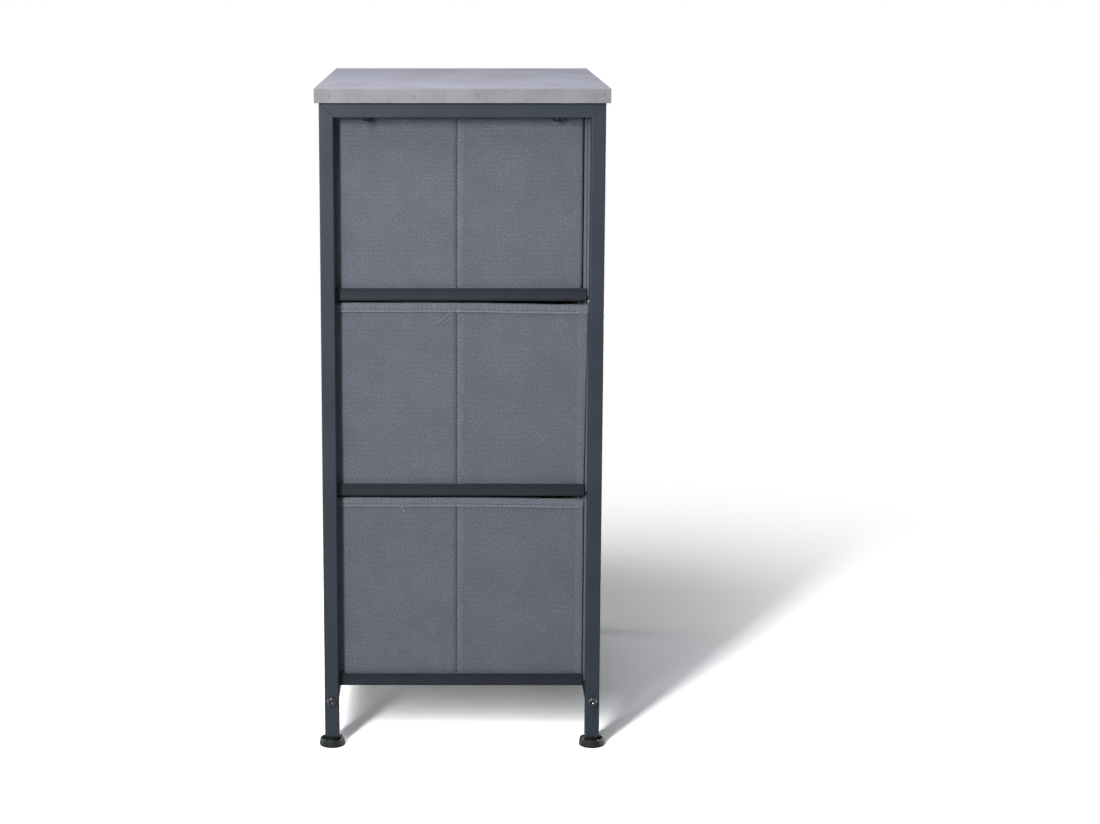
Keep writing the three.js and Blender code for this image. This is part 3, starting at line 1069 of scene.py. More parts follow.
@dataclass
class ButtonScrew:
    """A button head screw with a hexagonal socket and a threaded shank."""

    head_diameter: float = 10.5 * MM
    head_height: float = 3.3 * MM
    head_edge: float = 0.55 * MM
    flat_diameter: float = 6.2 * MM
    socket_width: float = 4 * MM
    socket_depth: float = 2.4 * MM
    chamfer: float = 0.22 * MM
    drill_point: float = 1.2 * MM
    thread: float = 6 * MM
    sides: int = 48
    dome_steps: int = 8

    def hexagon(self, angle: float) -> float:
        """How far a hexagon reaches at an angle, as a share of half its width."""
        return 1 / math.cos((angle % (math.pi / 3)) - math.pi / 6)

    def draft(self, reach: float) -> Draft:
        """Draw the screw with its seat at height 0, its head above and its shank reaching down.

        Args:
            reach: The shank's length.

        Returns:
            The draft.
        """
        head, flat, shank = self.head_diameter / 2, self.flat_diameter / 2, self.thread / 2
        width, top, dome = self.socket_width / 2, self.head_height, self.head_height - self.head_edge
        outline = [
            (shank * 0.8, -reach), (shank, 0.5 * MM - reach), (shank, 0.0), (head - 0.32 * MM, 0.0),
            (head - 0.09 * MM, 0.1 * MM), (head, 0.32 * MM), (head, self.head_edge),
        ]
        for step in range(1, self.dome_steps + 1):
            turn = QUARTER * step / self.dome_steps
            outline.append((flat + (head - flat) * math.cos(turn), self.head_edge + dome * math.sin(turn)))
        floor = top - self.socket_depth
        socket = [(width + self.chamfer, top), (width, top - self.chamfer), (width, floor)]
        rings = [ring(*place, self.sides) for place in outline]
        rings += [ring(*place, self.sides, self.hexagon) for place in socket]
        return Draft([*rings, ring(width * 0.04, floor - self.drill_point, self.sides)])

    def build(self) -> None:
        """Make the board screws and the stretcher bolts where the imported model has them."""
        for side in Side:
            for end in End:
                where = f"{side.word}_{end.word}"
                upright = Matrix.Rotation(math.pi, 4, "X")
                # The board screws take the steel's shaded copy and the stretcher bolts its lit copy: painted
                # shade and painted light on their heads.
                self.stand_in(f"{where}_board_screw", upright, 2, Finish.BOARD_SCREW)
                turn = Matrix.Rotation(side.value * QUARTER, 4, "Y")
                self.stand_in(f"{where}_stretcher_bolt", turn, 0, Finish.SCREW)

    def stand_in(self, node: str, turn: Matrix, axis: int, finish: Finish) -> None:
        """Make one screw that stands for a node.

        Args:
            node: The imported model's node.
            turn: How the screw is turned from upright.
            axis: The axis along which it lies, 0 for X and 2 for Z.
            finish: Its finish.
        """
        low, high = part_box(node)
        place, head_up = (low + high) / 2, (turn @ Vector((0, 0, 1)))[axis] > 0
        place[axis] = high[axis] - self.head_height if head_up else low[axis] + self.head_height
        screw = self.draft((high - low)[axis] - self.head_height)
        screw.move(Matrix.Translation(place) @ turn).piece(f"{node}_steel", finish, replaces=[node], sharp=35)


@dataclass
class LevellingFoot:
    """A dished round foot on a threaded stem."""

    side: Side
    end: End
    rim_diameter: float = 25.4 * MM
    height: float = 8 * MM
    rim_width: float = 1.7 * MM
    dish: float = 3.2 * MM
    hub_diameter: float = 11 * MM
    hub_top: float = 10.7 * MM
    thread: float = 6 * MM
    pitch: float = 1.0 * MM
    sides: int = 64

    def profile(self, base: float, top: float) -> list[tuple[float, float]]:
        """The foot's outline from the floor to the top of its stem.

        Args:
            base: The base's radius.
            top: The stem's top.

        Returns:
            Radius and height of each point.
        """
        rim, hub, stem = self.rim_diameter / 2, self.hub_diameter / 2, self.thread / 2
        inner, floor, tall, neck = rim - self.rim_width, self.height - self.dish, self.height, self.hub_top
        outline = (
            (base, -1.1, 0, 0), (base, -0.35, 0, 0.12), (base, 0, 0, 0.75), (base, -0.05, 0, 2.2),
            (rim, 0.1, tall, -0.9), (rim, -0.15, tall, -0.22), (rim, -0.5, tall, 0), (inner, 0.1, tall, -0.3),
            (inner, -0.35, floor, 0.9), (inner, -1.2, floor, 0), (hub, 0.9, floor, 0), (hub, 0.1, floor, 0.7),
            (hub, 0, neck, -0.6), (hub, -0.5, neck, 0), (stem, 0, neck, 0),
        )
        points = [(radius + out * MM, height + up * MM) for radius, out, height, up in outline]
        for turn in range(int((top - neck) / self.pitch)):
            for depth, share in ((0.45 * MM, 0.3), (0.0, 0.75)):
                points.append((stem - depth, neck + self.pitch * (turn + share)))
        return [*points, (stem - 0.5 * MM, top)]

    def build(self) -> None:
        """Make the foot."""
        node = f"{self.side.word}_{self.end.word}_foot"
        low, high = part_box(node)
        middle = (low + high) / 2
        rings = [ring(*place, self.sides) for place in self.profile((high.x - low.x) / 2, high.z)]
        draft = Draft(rings).move(Matrix.Translation((middle.x, middle.y, 0)))
        draft.piece(f"{node}_moulding", Finish.FOOT, node, [node], 32)


@dataclass(frozen=True)
class Spot:
    """One place on the way round a bin: its wall or corner, how far along it, its point and the way out."""

    leg: int
    share: float
    place: Vector
    away: Vector

    def out(self, far: float, height: float) -> Vector:
        """The point that lies some way outwards at a height."""
        return self.place + self.away * far + Vector((0, 0, height))


@dataclass(frozen=True)
class Plan:
    """A rounded rectangle seen from above, walked from the middle of the rear wall past the left wall.

    Its legs are the walls, 0 and 8 for the rear one's halves, 2 left, 4 front and 6 right, and the odd
    corners between them.
    """

    half_width: float
    front: float
    rear: float
    radius: float

    def drawn_in(self, sides: float, front: float) -> "Plan":
        """The same plan with its sides and rear drawn in, and its front by another distance."""
        radius = max(0.8 * MM, self.radius - sides)
        return Plan(self.half_width - sides, self.front + front, self.rear - sides, radius)

    def spot(self, leg: int, share: float) -> Spot:
        """Find one spot on the way round.

        Args:
            leg: The leg.
            share: How far along it, from 0 to 1.

        Returns:
            The spot, at height 0.
        """
        wide, r = self.half_width, self.radius
        x, front, rear = wide - r, self.front + r, self.rear - r
        if leg % 2:
            cx, cy, start = ((-x, rear, 90), (-x, front, 180), (x, front, 270), (x, rear, 0))[leg // 2]
            angle = math.radians(start + 90 * share)
            away = Vector((math.cos(angle), math.sin(angle), 0))
            return Spot(leg, share, Vector((cx, cy, 0)) + r * away, away)
        start, stop, away = (
            ((0, self.rear, 0), (-x, self.rear, 0), (0, 1, 0)),
            ((-wide, rear, 0), (-wide, front, 0), (-1, 0, 0)),
            ((-x, self.front, 0), (x, self.front, 0), (0, -1, 0)),
            ((wide, front, 0), (wide, rear, 0), (1, 0, 0)),
            ((x, self.rear, 0), (0, self.rear, 0), (0, 1, 0)),
        )[leg // 2]
        return Spot(leg, share, Vector(start).lerp(Vector(stop), share), Vector(away))

    def beside(self, leg: int, y: float) -> Spot:
        """The spot on a side wall at a place along Y."""
        start, stop = (self.spot(leg, share).place.y for share in (0, 1))
        return self.spot(leg, (y - start) / (stop - start))

    def walk(self, step: float, seam: float) -> list[Spot]:
        """Divide the whole way round, finely at the side walls' fold seam.

        Args:
            step: The widest space on a straight wall.
            seam: Where the fold seam lies along Y.

        Returns:
            The spots, the last one just before the first.
        """
        fine, found = (0.0, 0.35, 0.7, 1.1, 1.6, 2.3, 3.2, 4.4, 6.0, 8.0), []
        for leg in range(9):
            shares = {i / 6 for i in range(1, 6)}
            if leg % 2 == 0:
                start, stop = (self.spot(leg, share).place for share in (0, 1))
                length = (stop - start).length
                count = max(2, math.ceil(length / step))
                shares = {round(i / count, 5) for i in range(count + 1)}
                near = [sign * away for away in fine for sign in (-1, 1)] if leg in (2, 6) else []
                creased = [-6.5 - 0.8 * i for i in range(26)] if leg == 2 else []
                middle = abs(seam - start.y) / length
                shares.update(round(middle + away * MM / length, 5) for away in near + creased)
            found += [self.spot(leg, share) for share in sorted(shares)]
        return found[:-1]


@dataclass
class FabricBin:
    """One bin: sewn cloth body, lining, rim binding, base board, covered front and strap pull."""

    tier: Tier
    fabric: float = 0.8 * MM
    lining_cloth: float = 0.6 * MM
    binding: float = 0.6 * MM
    stiffener: float = 2.0 * MM
    plan_radius: float = 4.0 * MM
    floor_round: float = 2.6 * MM
    hem: float = 9.5 * MM
    hem_stitch: float = 2.9 * MM
    side_legs: tuple[int, ...] = (2, 6)
    body_step: float = 5 * MM
    lining_step: float = 9 * MM
    tape_step: float = 3.6 * MM
    coarse_rows: int = 34
    fine_rows: int = 40
    fine_reach: float = 24 * MM
    lining_rows: int = 22
    seam_rows: int = 60
    sleeve_inset: float = 6 * MM
    border_step: float = 7 * MM
    strap_thickness: float = 2 * MM
    strap_tab: float = 14 * MM
    strap_stitch_inset: float = 2.6 * MM
    strap_steps: int = 64
    grip_steps: int = 60
    fray_place: float = 57 * MM
    fray_strands: int = 4
    fray_steps: int = 7
    pleat_section: tuple[tuple[float, float], ...] = (
        (-0.75, -0.6), (-0.85, -0.05), (-1.15, 0.22), (-1.8, 0.42), (-2.8, 0.5), (-4.0, 0.42),
        (-5.4, 0.24), (-6.8, 0.06), (-8.0, -0.12), (-7.6, -0.4), (-4.0, -0.6),
    )
    seam_sewing: Stitches = Stitches(1.9 * MM, 1.5 * MM, 0.6 * MM)
    hem_sewing: Stitches = Stitches(2.7 * MM, 2.2 * MM, 0.34 * MM)
    edge_sewing: Stitches = Stitches(2.7 * MM, 1.1 * MM, 0.26 * MM)
    pull_sewing: Stitches = Stitches(2.4 * MM, 0.9 * MM, 0.26 * MM)

    def __post_init__(self) -> None:
        """Read the bin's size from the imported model."""
        self.body, self.temper = f"{self.tier.word}_bin", self.tier.value
        low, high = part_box(self.node("rim_binding"))
        self.rim, self.floor = high.z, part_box(self.node("fabric_body"))[0].z
        self.tall = self.rim - self.floor
        self.plan = Plan(high.x, low.y, high.y, self.plan_radius)
        self.seam = (low.y + high.y) / 2
        skin_inset = self.binding + TOUCH
        self.skin_plan = self.plan.drawn_in(skin_inset, skin_inset)
        board_inset = skin_inset + self.fabric + TOUCH
        self.side_wall = board_inset + self.stiffener + TOUCH + self.lining_cloth
        self.front_wall = board_inset + self.lining_cloth

    def node(self, part: str) -> str:
        """The name of one part of this bin."""
        return f"{self.body}_{part}"

    def make(
        self, draft: Draft, name: str, finish: Finish, part: str = "", **options: object
    ) -> bpy.types.Object:
        """Turn a draft into a piece of this bin.

        Args:
            draft: The draft.
            name: The piece's name after the bin's.
            finish: Its finish.
            part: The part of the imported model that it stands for, if any.
            options: What else the draft's own method takes.

        Returns:
            The piece.
        """
        replaces = [self.node(part)] if part else []
        return draft.piece(self.node(name), finish, self.body, replaces, **options)

    def wander(self, x: float, y: float, z: float, size: float) -> float:
        """Smooth chance from -1 to 1 at a place, size being how far it takes to change."""
        seed = self.temper.seed
        return noise.noise(Vector((x, y, z)) / size + Vector((seed, 0.0, 3.7 * seed)))

    def rim_height(self, place: Vector) -> float:
        """How far the rim stands above its level.

        Args:
            place: A place on the way round.

        Returns:
            The height.
        """
        forward, wide = smooth(self.seam + 10 * MM, self.plan.front, place.y), self.plan.half_width
        across = 1 - smooth(0.7 * wide, 0.98 * wide, abs(place.x))
        lift = self.temper.rear_lift * (1 - forward) * (1 - across) - self.temper.front_drop * forward
        return lift + 0.25 * MM * self.wander(place.x, place.y, 0, 0.05) - 0.6 * MM * across

    def seam_press(self, spot: Spot) -> float:
        """How far the fold seam draws a side wall in: steeply behind it, gently before it.

        Args:
            spot: A spot on the way round the skin.

        Returns:
            The distance.
        """
        if spot.leg not in self.side_legs:
            return 0.0
        away = spot.place.y - self.seam
        swell = 0.25 * bell(away + 3.0 * MM, 3.0 * MM) if away < 0 else 0.0
        return (1.3 * bell(away, (2.0 if away > 0 else 1.15) * MM) - swell) * MM

    def crease(self, place: Vector, below_hem: float) -> float:
        """How far a slanting fold line beside the seam stands out.

        Args:
            place: A place on the way round.
            below_hem: How far below the hem it lies.

        Returns:
            The height.
        """
        if not self.temper.crease or place.x > 0:
            return 0.0
        back, down = place.y - self.seam - 4.5 * MM, below_hem - 0.5 * MM
        along, across = (back + down) * 0.7, (back - down * 1.25) * 0.62
        fade = smooth(-2 * MM, 2 * MM, along) * (1 - smooth(16 * MM, 24 * MM, along))
        return 0.8 * MM * fade * (bell(across, 0.95 * MM) + 0.6 * bell(across + 4.0 * MM, MM))

    def wall_out(self, spot: Spot, height: float) -> float:
        """How far the outer cloth stands out from its plan.

        Args:
            spot: A spot on the way round the skin.
            height: How far above the bin's floor.

        Returns:
            The distance.
        """
        x, y, _ = spot.place
        below_hem = self.tall - self.hem - height
        slow = 0.42 * self.wander(x, y, height, 0.055) + 0.16 * self.wander(x, y, height, 0.018)
        tug = 0.2 * self.wander(x, y, 0, 0.0045) * math.exp(-max(0.0, below_hem) / (6 * MM))
        low = 0.18 * self.wander(x, y, 0.3, 0.007) * math.exp(-height / (8 * MM))
        belly = 0.35 * math.sin(math.pi * min(1.0, max(0.0, height / self.tall)))
        tuck = 0.7 * (1 - smooth(10 * MM, 19 * MM, height))
        waves = (slow + tug + low + belly - tuck) * MM
        return waves - self.seam_press(spot) + self.crease(spot.place, below_hem)

    def bag(
        self,
        cloth: tuple[str, str, Finish, float],
        plan: Plan,
        step: float,
        bottom: float,
        floor: Sequence[tuple[float, float]],
        heights: Sequence[float],
        out: Callable[[Spot, float], float],
    ) -> None:
        """Sew four walls and a floor, and say what sheet they were cut from.

        Args:
            cloth: The piece's name, the part that it stands for, its finish and its thickness.
            plan: Its plan.
            step: The widest space between points round it.
            bottom: The height of its floor.
            floor: How far in each ring of its floor lies, and how high.
            heights: The heights of its walls' rings above its floor.
            out: How far the wall stands out at a spot and a height.
        """
        spots, top = plan.walk(step, self.seam), heights[-1]
        rings = [[spot.out(-inset, height) for spot in spots] for inset, height in floor]
        for height in heights:
            share = smooth(0.5 * top, top, height)
            rings.append([
                spot.out(out(spot, height), height + self.rim_height(spot.place) * share) for spot in spots
            ])
        around = running([spot.place for spot in (*spots, spots[0])])
        along = [height or -inset for inset, height in floor] + list(heights)
        draft = Draft(rings, around, along, (True, False)).move(Matrix.Translation((0, 0, bottom)))
        name, part, finish, thickness = cloth
        piece = self.make(draft, name, finish, part, sharp=60, thickness=thickness)
        self.node("back_stiffener")

    def outer_cloth(self) -> None:
        """The outer cloth: its floor turns up in a small round, and its rings lie close below the hem."""
        r, top = self.floor_round, self.tall - self.binding - TOUCH
        turns = [QUARTER * step / 4 for step in range(1, 5)]
        floor = [(22 * MM, 0.0), (9 * MM, 0.0), (r, 0.0)]
        floor += [(r * (1 - math.sin(turn)), r * (1 - math.cos(turn))) for turn in turns]
        fine = top - self.hem - self.fine_reach
        heights = []
        for start, stop, rows in ((r, fine, self.coarse_rows), (fine, top, self.fine_rows)):
            heights += [start + (stop - start) * row / rows for row in range(1, rows + 1)]
        cloth = ("cloth_body", "fabric_body", Finish.CLOTH, self.fabric)
        self.bag(
            cloth, self.skin_plan, self.body_step, self.floor, floor, heights,
            lambda spot, height: self.wall_out(spot, height) * smooth(0.0, 12 * MM, height),
        )

    def lining(self) -> None:
        """The inner cloth, with soft dents and the fold line."""
        plan = self.plan.drawn_in(self.side_wall - self.lining_cloth, self.front_wall - self.lining_cloth)
        bottom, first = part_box(self.node("lining"))[0].z, 1.2 * MM
        top = self.rim - self.binding - TOUCH - bottom

        def dent(spot: Spot, height: float) -> float:
            """How far the lining stands out, less than nothing in its dents.

            Args:
                spot: A spot on the way round.
                height: How far above its floor.

            Returns:
                The distance.
            """
            hollow = 0.3 * MM * (1 + self.wander(spot.place.x * 1.3, spot.place.y, height + 0.4, 0.04))
            fold = 0.42 * MM * bell(spot.place.y - self.seam, 1.6 * MM) if spot.leg in self.side_legs else 0.0
            return fold - hollow * smooth(0, 10 * MM, height)

        rows = self.lining_rows
        heights = [first + (top - first) * row / rows for row in range(rows + 1)]
        cloth = ("cloth_lining", "lining", Finish.LINING, self.lining_cloth)
        floor = [(16 * MM, 0.0), (6 * MM, 0.0), (first, 0.0)]
        self.bag(cloth, plan, self.lining_step, bottom, floor, heights, dent)

    def rim_binding(self) -> None:
        """The tape folded over the rim, and its rows of stitches."""
        walls = (self.side_wall, self.front_wall)
        inner_plan = self.plan.drawn_in(*(wall + TOUCH + self.binding for wall in walls))
        outer = self.plan.walk(self.tape_step, self.seam)
        inner = [inner_plan.spot(spot.leg, spot.share).place for spot in outer]
        section, hem, rings, along = self.tape_section(), self.hem, [], [0.0]
        for across, inset, height in section:
            points = []
            stitch_line = 0.34 * MM * bell(height + hem - self.hem_stitch, 1.3 * MM)
            flare = 0.3 * MM * (1 - smooth(-hem, -hem + 1.5 * MM, height))
            for spot, inside in zip(outer, inner):
                x, y, _ = spot.place
                pucker = 0.16 * MM * self.wander(x, y, 9.0, 0.0042)
                out = flare + (pucker - stitch_line - 0.35 * self.seam_press(spot)) * (1 - across)
                lift = self.rim_height(spot.place) + 0.2 * MM * self.wander(x, y, 5.0, 0.012)
                place = spot.place.lerp(inside, across) + spot.away * (out - inset * (1 - 2 * across))
                points.append(place + Vector((0, 0, self.rim + height + lift)))
            rings.append(points)
        for here, there in zip(section, [*section[1:], section[0]]):
            along.append(along[-1] + math.hypot(there[2] - here[2], (there[0] - here[0]) * self.side_wall))
        loop = [*outer, outer[0]]
        draft = Draft([*rings, rings[0]], running([spot.place for spot in loop]), along, (False, False))
        drawn = len(section) * len(outer)
        draft.faces = [tuple(i % drawn for i in face) for face in draft.faces]
        del draft.points[drawn:]
        piece = self.make(draft, "rim_tape", Finish.BINDING, "rim_binding", sharp=55, rigid=False)
        self.node("cloth_body")
        aways, edge = [spot.away for spot in loop], self.rim - hem

        def line(above: float, out: float) -> list[Vector]:
            """A line round the tape at a height above its lower edge."""
            return [spot.out(out, edge + above + self.rim_height(spot.place)) for spot in loop]

        thread = self.hem_sewing.along(line(self.hem_stitch, -0.28 * MM), aways)
        # The pale overlock row just above the tape's lower edge carries a painted highlight for that edge.
        overlock = self.edge_sewing.along(line(0.75 * MM, 0.14 * MM), aways)
        self.make(overlock, "edge_thread", Finish.EDGE_THREAD)
        level = edge + self.hem_stitch
        within = [place + Vector((0, 0, level + self.rim_height(place))) for place in (*inner, inner[0])]
        thread.join(Stitches().along(within, [-away for away in aways]))
        self.make(thread, "hem_thread", Finish.THREAD)

    def tape_section(self) -> list[tuple[float, float, float]]:
        """The folded tape's section as a closed line.

        Returns:
            For each point, its share of the way across the rim, how far it is set in from the tape's
            face, and its height below the rim.
        """
        thick, hem, edge = self.binding, -self.hem, 0.45 * self.binding
        outer = [(0.0, edge, hem)]
        rises = (edge, 1.2 * MM, 2.1 * MM, self.hem_stitch, 3.8 * MM, 5.2 * MM)
        outer += [(0.0, 0.0, hem + up) for up in rises]
        top = ((0.0, 0.0, -1.9), (0.0, 0.18, -0.9), (0.12, 0.0, -0.22), (0.32, 0.0, 0.0), (0.68, 0.0, 0.0))
        top += ((0.88, 0.0, -0.22), (1.0, 0.18, -0.9), (1.0, 0.0, -2.2))
        inner = [(1.0, 0.0, hem + up) for up in (3.8 * MM, self.hem_stitch, 1.6 * MM, edge)]
        low, fold, under = hem + 0.1 * MM, -thick - 0.6 * MM, -thick - 0.2 * MM
        inside = [(1.0, edge, hem), (1.0, thick, low), (1.0, thick, fold), (0.8, 0.0, under)]
        inside += [(0.2, 0.0, under), (0.0, thick, fold), (0.0, thick, low)]
        return outer + [(across, inset * MM, height * MM) for across, inset, height in top] + inner + inside

    def fold_seam(self) -> None:
        """The stitches down both side walls' fold seams, and the pleat pinched along each."""
        first, top, rows = 4 * MM, self.tall - self.hem - 0.6 * MM, self.seam_rows
        heights = [first + (top - first) * row / rows for row in range(rows + 1)]
        thread, pleat = Draft(), Draft()
        for leg in self.side_legs:
            spot = self.skin_plan.beside(leg, self.seam)
            path = [
                spot.out(self.wall_out(spot, height) + 0.2 * MM, self.floor + height) for height in heights
            ]
            thread.join(self.seam_sewing.along(path, [spot.away] * len(path)))
            rings, around = [], [y * MM for y, _ in self.pleat_section]
            for height in heights:
                breadth, points = 1 + 0.12 * self.wander(spot.place.x, 4.0, height, 0.021), []
                for y, out in self.pleat_section:
                    there = self.skin_plan.beside(leg, self.seam + y * breadth * MM)
                    wall = self.wall_out(there, height) + self.seam_press(there)
                    points.append(there.out(wall + out * MM, self.floor + height))
                rings.append(points)
            pleat.join(Draft(rings, [*around, around[0]], heights))
        self.make(thread, "seam_thread", Finish.SEAM_THREAD)
        # The pleat's lighter cloth is painted light on the lit slope before the seam.
        self.make(pleat, "seam_pleat", Finish.PLEAT, sharp=60)

    def front_lap(self) -> None:
        """The side walls' cloth and rim tape, carried a little way over the front board's edges, with a dark
        cord that paints the shadow in the gap at the lap's front edge.
        """
        plan, (below, above) = self.skin_plan, self.temper.lap
        bend, outer = plan.front + plan.radius, self.plan.half_width + 0.75 * MM
        start, fold, top = bend + 3 * MM, self.tall - self.hem, self.tall - self.temper.front_drop
        cloth, tape, overlock, shadow_cord = (Draft() for _ in range(4))
        for leg in self.side_legs:
            spot = plan.beside(leg, start)
            away, cord = spot.away, []
            spans = ((cloth, 8 * MM, fold + 0.8 * MM, 48), (tape, fold, top - 0.2 * MM, 6))
            for draft, low, high, rows in spans:
                rings, heights = [], [low + (high - low) * row / rows for row in range(rows + 1)]
                for height in heights:
                    ragged = 0.35 * MM * self.wander(spot.place.x, 8.0, height, 0.03)
                    front = plan.front - (below + (above - below) * height / top + ragged)
                    wall, out = abs(spot.place.x) + self.wall_out(spot, height), outer
                    if draft is tape:
                        wall, out = self.plan.half_width + 0.1 * MM, outer + 0.25 * MM
                    section = [(y + a * MM, x + b * MM) for y, a, x, b in (
                        (start, 0, wall, -0.25), (start, -1.5, wall, 0.05),
                        (bend, -1, 0.55 * wall + 0.45 * out, 0), (bend, -4, out, -0.1),
                        (front, 0.6, out, 0), (front, 0.15, out, -0.12),
                        (front, 0, out, -0.4), (front, 0.2, out, -0.66), (bend, -4.2, out, -0.75),
                        (start, 0, wall, -0.8),
                    )]
                    rings.append([Vector((away.x * x, y, self.floor + height)) for y, x in section])
                    if draft is cloth:
                        place = (away.x * (outer - 0.95 * MM), front - 0.45 * MM, self.floor + height)
                        cord.append(Vector(place))
                draft.join(Draft(rings, [*(start - y for y, _ in section), 0.0], heights))
            # The cord is a dark rod along the lap's front edge: painted shadow for the gap between the lap
            # and the front board.
            shadow_cord.join(rod(cord, [0.6 * MM] * len(cord), 10))
            x, z = away.x * (outer + 0.35 * MM), self.rim - self.hem + 0.75 * MM - self.temper.front_drop
            path = [Vector((x, y, z)) for y in (bend - 3 * MM, plan.front - above)]
            overlock.join(self.edge_sewing.along(path, [away] * 2))
        self.make(shadow_cord, "front_lap_welt", Finish.SEAM_THREAD, sharp=60)
        self.make(cloth, "front_lap", Finish.CLOTH, sharp=60)
        self.make(tape, "front_lap_tape", Finish.BINDING, sharp=60)
        if overlock.points:
            self.make(overlock, "front_lap_thread", Finish.EDGE_THREAD)

    def base_board(self) -> None:
        """The loose board on the floor."""
        board = rounded_box(*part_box(self.node("base_board")), 0.4 * MM)
        self.make(board, "base_panel", Finish.FIBREBOARD, "base_board", sharp=30)

    def front_cover(self) -> None:
        """The cloth sleeve over the front board: taut, with soft edges and a seam round its rim."""
        low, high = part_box(self.node("front_cover"))
        middle, half, size = (low + high) / 2, (high - low) / 2, high - low

        def settle(point: Vector) -> Vector:
            """Pull the sleeve's cloth taut round its seam.

            Args:
                point: A point of the plain box.

            Returns:
                Where the cloth lies.
            """
            across, up = point.x - middle.x, point.z - middle.z
            side, depth = min(half.x - abs(across), half.z - abs(up)), (point.y - middle.y) / half.y
            inner = smooth(0.0, 14 * MM, side)
            wave = 0.3 * MM * self.wander(point.x, point.z, 2.0, 0.07)
            ripple = 0.14 * MM * self.wander(point.x, point.z, 6.0, 0.011) * (1 - inner)
            furrow = 0.95 * bell(depth, 0.18) - 0.35 * bell(abs(depth) - 0.45, 0.2)
            furrow *= 1 - smooth(0.0, 2.5 * MM, side)
            moved = point.copy()
            if depth < 0:
                moved.y -= inner * (0.25 * MM + wave + ripple)
            if abs(across) > half.x - 3 * MM:
                moved.x -= math.copysign(1, across) * furrow * MM
            return moved

        draft = rounded_box(low, high, 2.6 * MM, (7 * MM, 0.5 * MM, 7 * MM)).move(settle)
        piece = self.make(draft, "front_sleeve", Finish.CLOTH, "front_cover", sharp=60, thickness=0.6 * MM)
        self.node("front_board")
        inset, border = self.sleeve_inset, []
        left, right, under, over = low.x + inset, high.x - inset, low.z + inset, high.z - inset
        turns = ((left, under), (right, under), (right, over), (left, over))
        corners = [Vector((x, low.y, z)) for x, z in turns]
        for here, there in zip(corners, [*corners[1:], corners[0]]):
            count = math.ceil((there - here).length / self.border_step)
            border += [here.lerp(there, i / count) for i in range(count)]
        border = [settle(point) for point in [*border, border[0]]]
        self.make(Stitches().along(border, [DEEP] * len(border)), "front_thread", Finish.THREAD)

    def strap(self) -> None:
        """The strap pull: two sewn-down ends and an arched grip."""
        low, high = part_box(self.node("strap_pull"))
        middle, thick, count = (low + high) / 2, self.strap_thickness, self.strap_steps
        half_span, half_width = (high.x - low.x) / 2, (high.z - low.z) / 2
        arch, rise = half_span - self.strap_tab, high.y - low.y - thick
        edge = half_width - self.strap_stitch_inset

        def lie(x: float) -> float:
            """How far the strap stands off the panel at a place along it."""
            return 0.0 if abs(x) > arch else rise * (1 + math.cos(math.pi * x / arch)) / 2

        def outward(x: float) -> Vector:
            """The direction away from the strap's back at a place along it."""
            slope = (lie(x + 0.1 * MM) - lie(x - 0.1 * MM)) / (0.2 * MM)
            return Vector((slope, -1.0, 0.0)).normalized()

        def over(x: float, across: float, out: float) -> Vector:
            """The point at a place along the strap, across it and out from its back."""
            return Vector((x, high.y - lie(x), middle.z + across)) + outward(x) * out

        rings, along = [], [2 * half_span * i / count - half_span for i in range(count + 1)]
        for x in along:
            full = thick * (0.35 if x in (along[0], along[-1]) else 1.0)
            rings.append([over(x, across, out) for across, out in self.strap_section(half_width, full)])
        sides = [across for across, _ in self.strap_section(half_width, thick)]
        draft = Draft(rings, [*sides, sides[0]], along)
        self.make(draft, "pull_strap", Finish.STRAP, "strap_pull", sharp=45, rigid=False)
        thread = Draft()
        for side in (-1, 1):
            near, far = side * (arch + 1.6 * MM), side * (half_span - 2.4 * MM)
            box = [(near, -edge), (far, -edge), (far, edge), (near, edge), (near, -edge), (far, edge)]
            for line in (box, [(far, -edge), (near, edge)]):
                path = [over(x, across, thick) for x, across in line]
                for here, there in zip(path, path[1:]):
                    thread.join(self.pull_sewing.along([here, there], [DEEP] * 2))
        grip = [2 * arch * i / self.grip_steps - arch for i in range(self.grip_steps + 1)]
        for across in (-edge, edge):
            path = [over(x, across, thick) for x in grip]
            thread.join(self.pull_sewing.along(path, [outward(x) for x in grip]))
        self.make(thread, "pull_thread", Finish.THREAD)

    @staticmethod
    def strap_section(half_width: float, thick: float) -> list[tuple[float, float]]:
        """The strap's flat section with round folded edges.

        Args:
            half_width: Half of the strap's width.
            thick: Its thickness.

        Returns:
            How far across the strap and how far out from its back each point lies.
        """
        r, turns = thick / 2, [QUARTER - math.pi * step / 6 for step in range(1, 6)]
        reach = half_width - r
        shares = (-1, -0.75, -0.4, 0, 0.4, 0.75, 1)
        face = [(reach * s, thick + 0.1 * MM * math.cos(s * QUARTER)) for s in shares]
        right = [(reach + r * math.cos(turn), r + r * math.sin(turn)) for turn in turns]
        back = [(reach * share, 0.0) for share in (1.0, 0.4, -0.4, -1.0)]
        return face + right + back + [(-across, thick - out) for across, out in right]

    def loose_thread(self) -> None:
        """A short frayed thread end at the hem by the fold seam."""
        start_y, start_z = self.seam + self.fray_place, self.rim - self.hem + 0.6 * MM
        start = Vector((-self.plan.half_width, start_y, start_z))
        thread, chance = Draft(), Random(7)
        for _ in range(self.fray_strands):
            path = [start.copy()]
            heading = Vector((-0.25, chance.uniform(-0.9, 0.9), chance.uniform(-0.7, 0.3)))
            for _ in range(self.fray_steps):
                heading += Vector((0.0, chance.uniform(-0.35, 0.35), chance.uniform(-0.45, 0.2)))
                heading.x = -0.12
                path.append(path[-1] + heading.normalized() * 0.8 * MM)
            thread.join(rod(path, [0.2 * MM] * len(path), 5))
        self.make(thread, "frayed_thread", Finish.EDGE_THREAD)

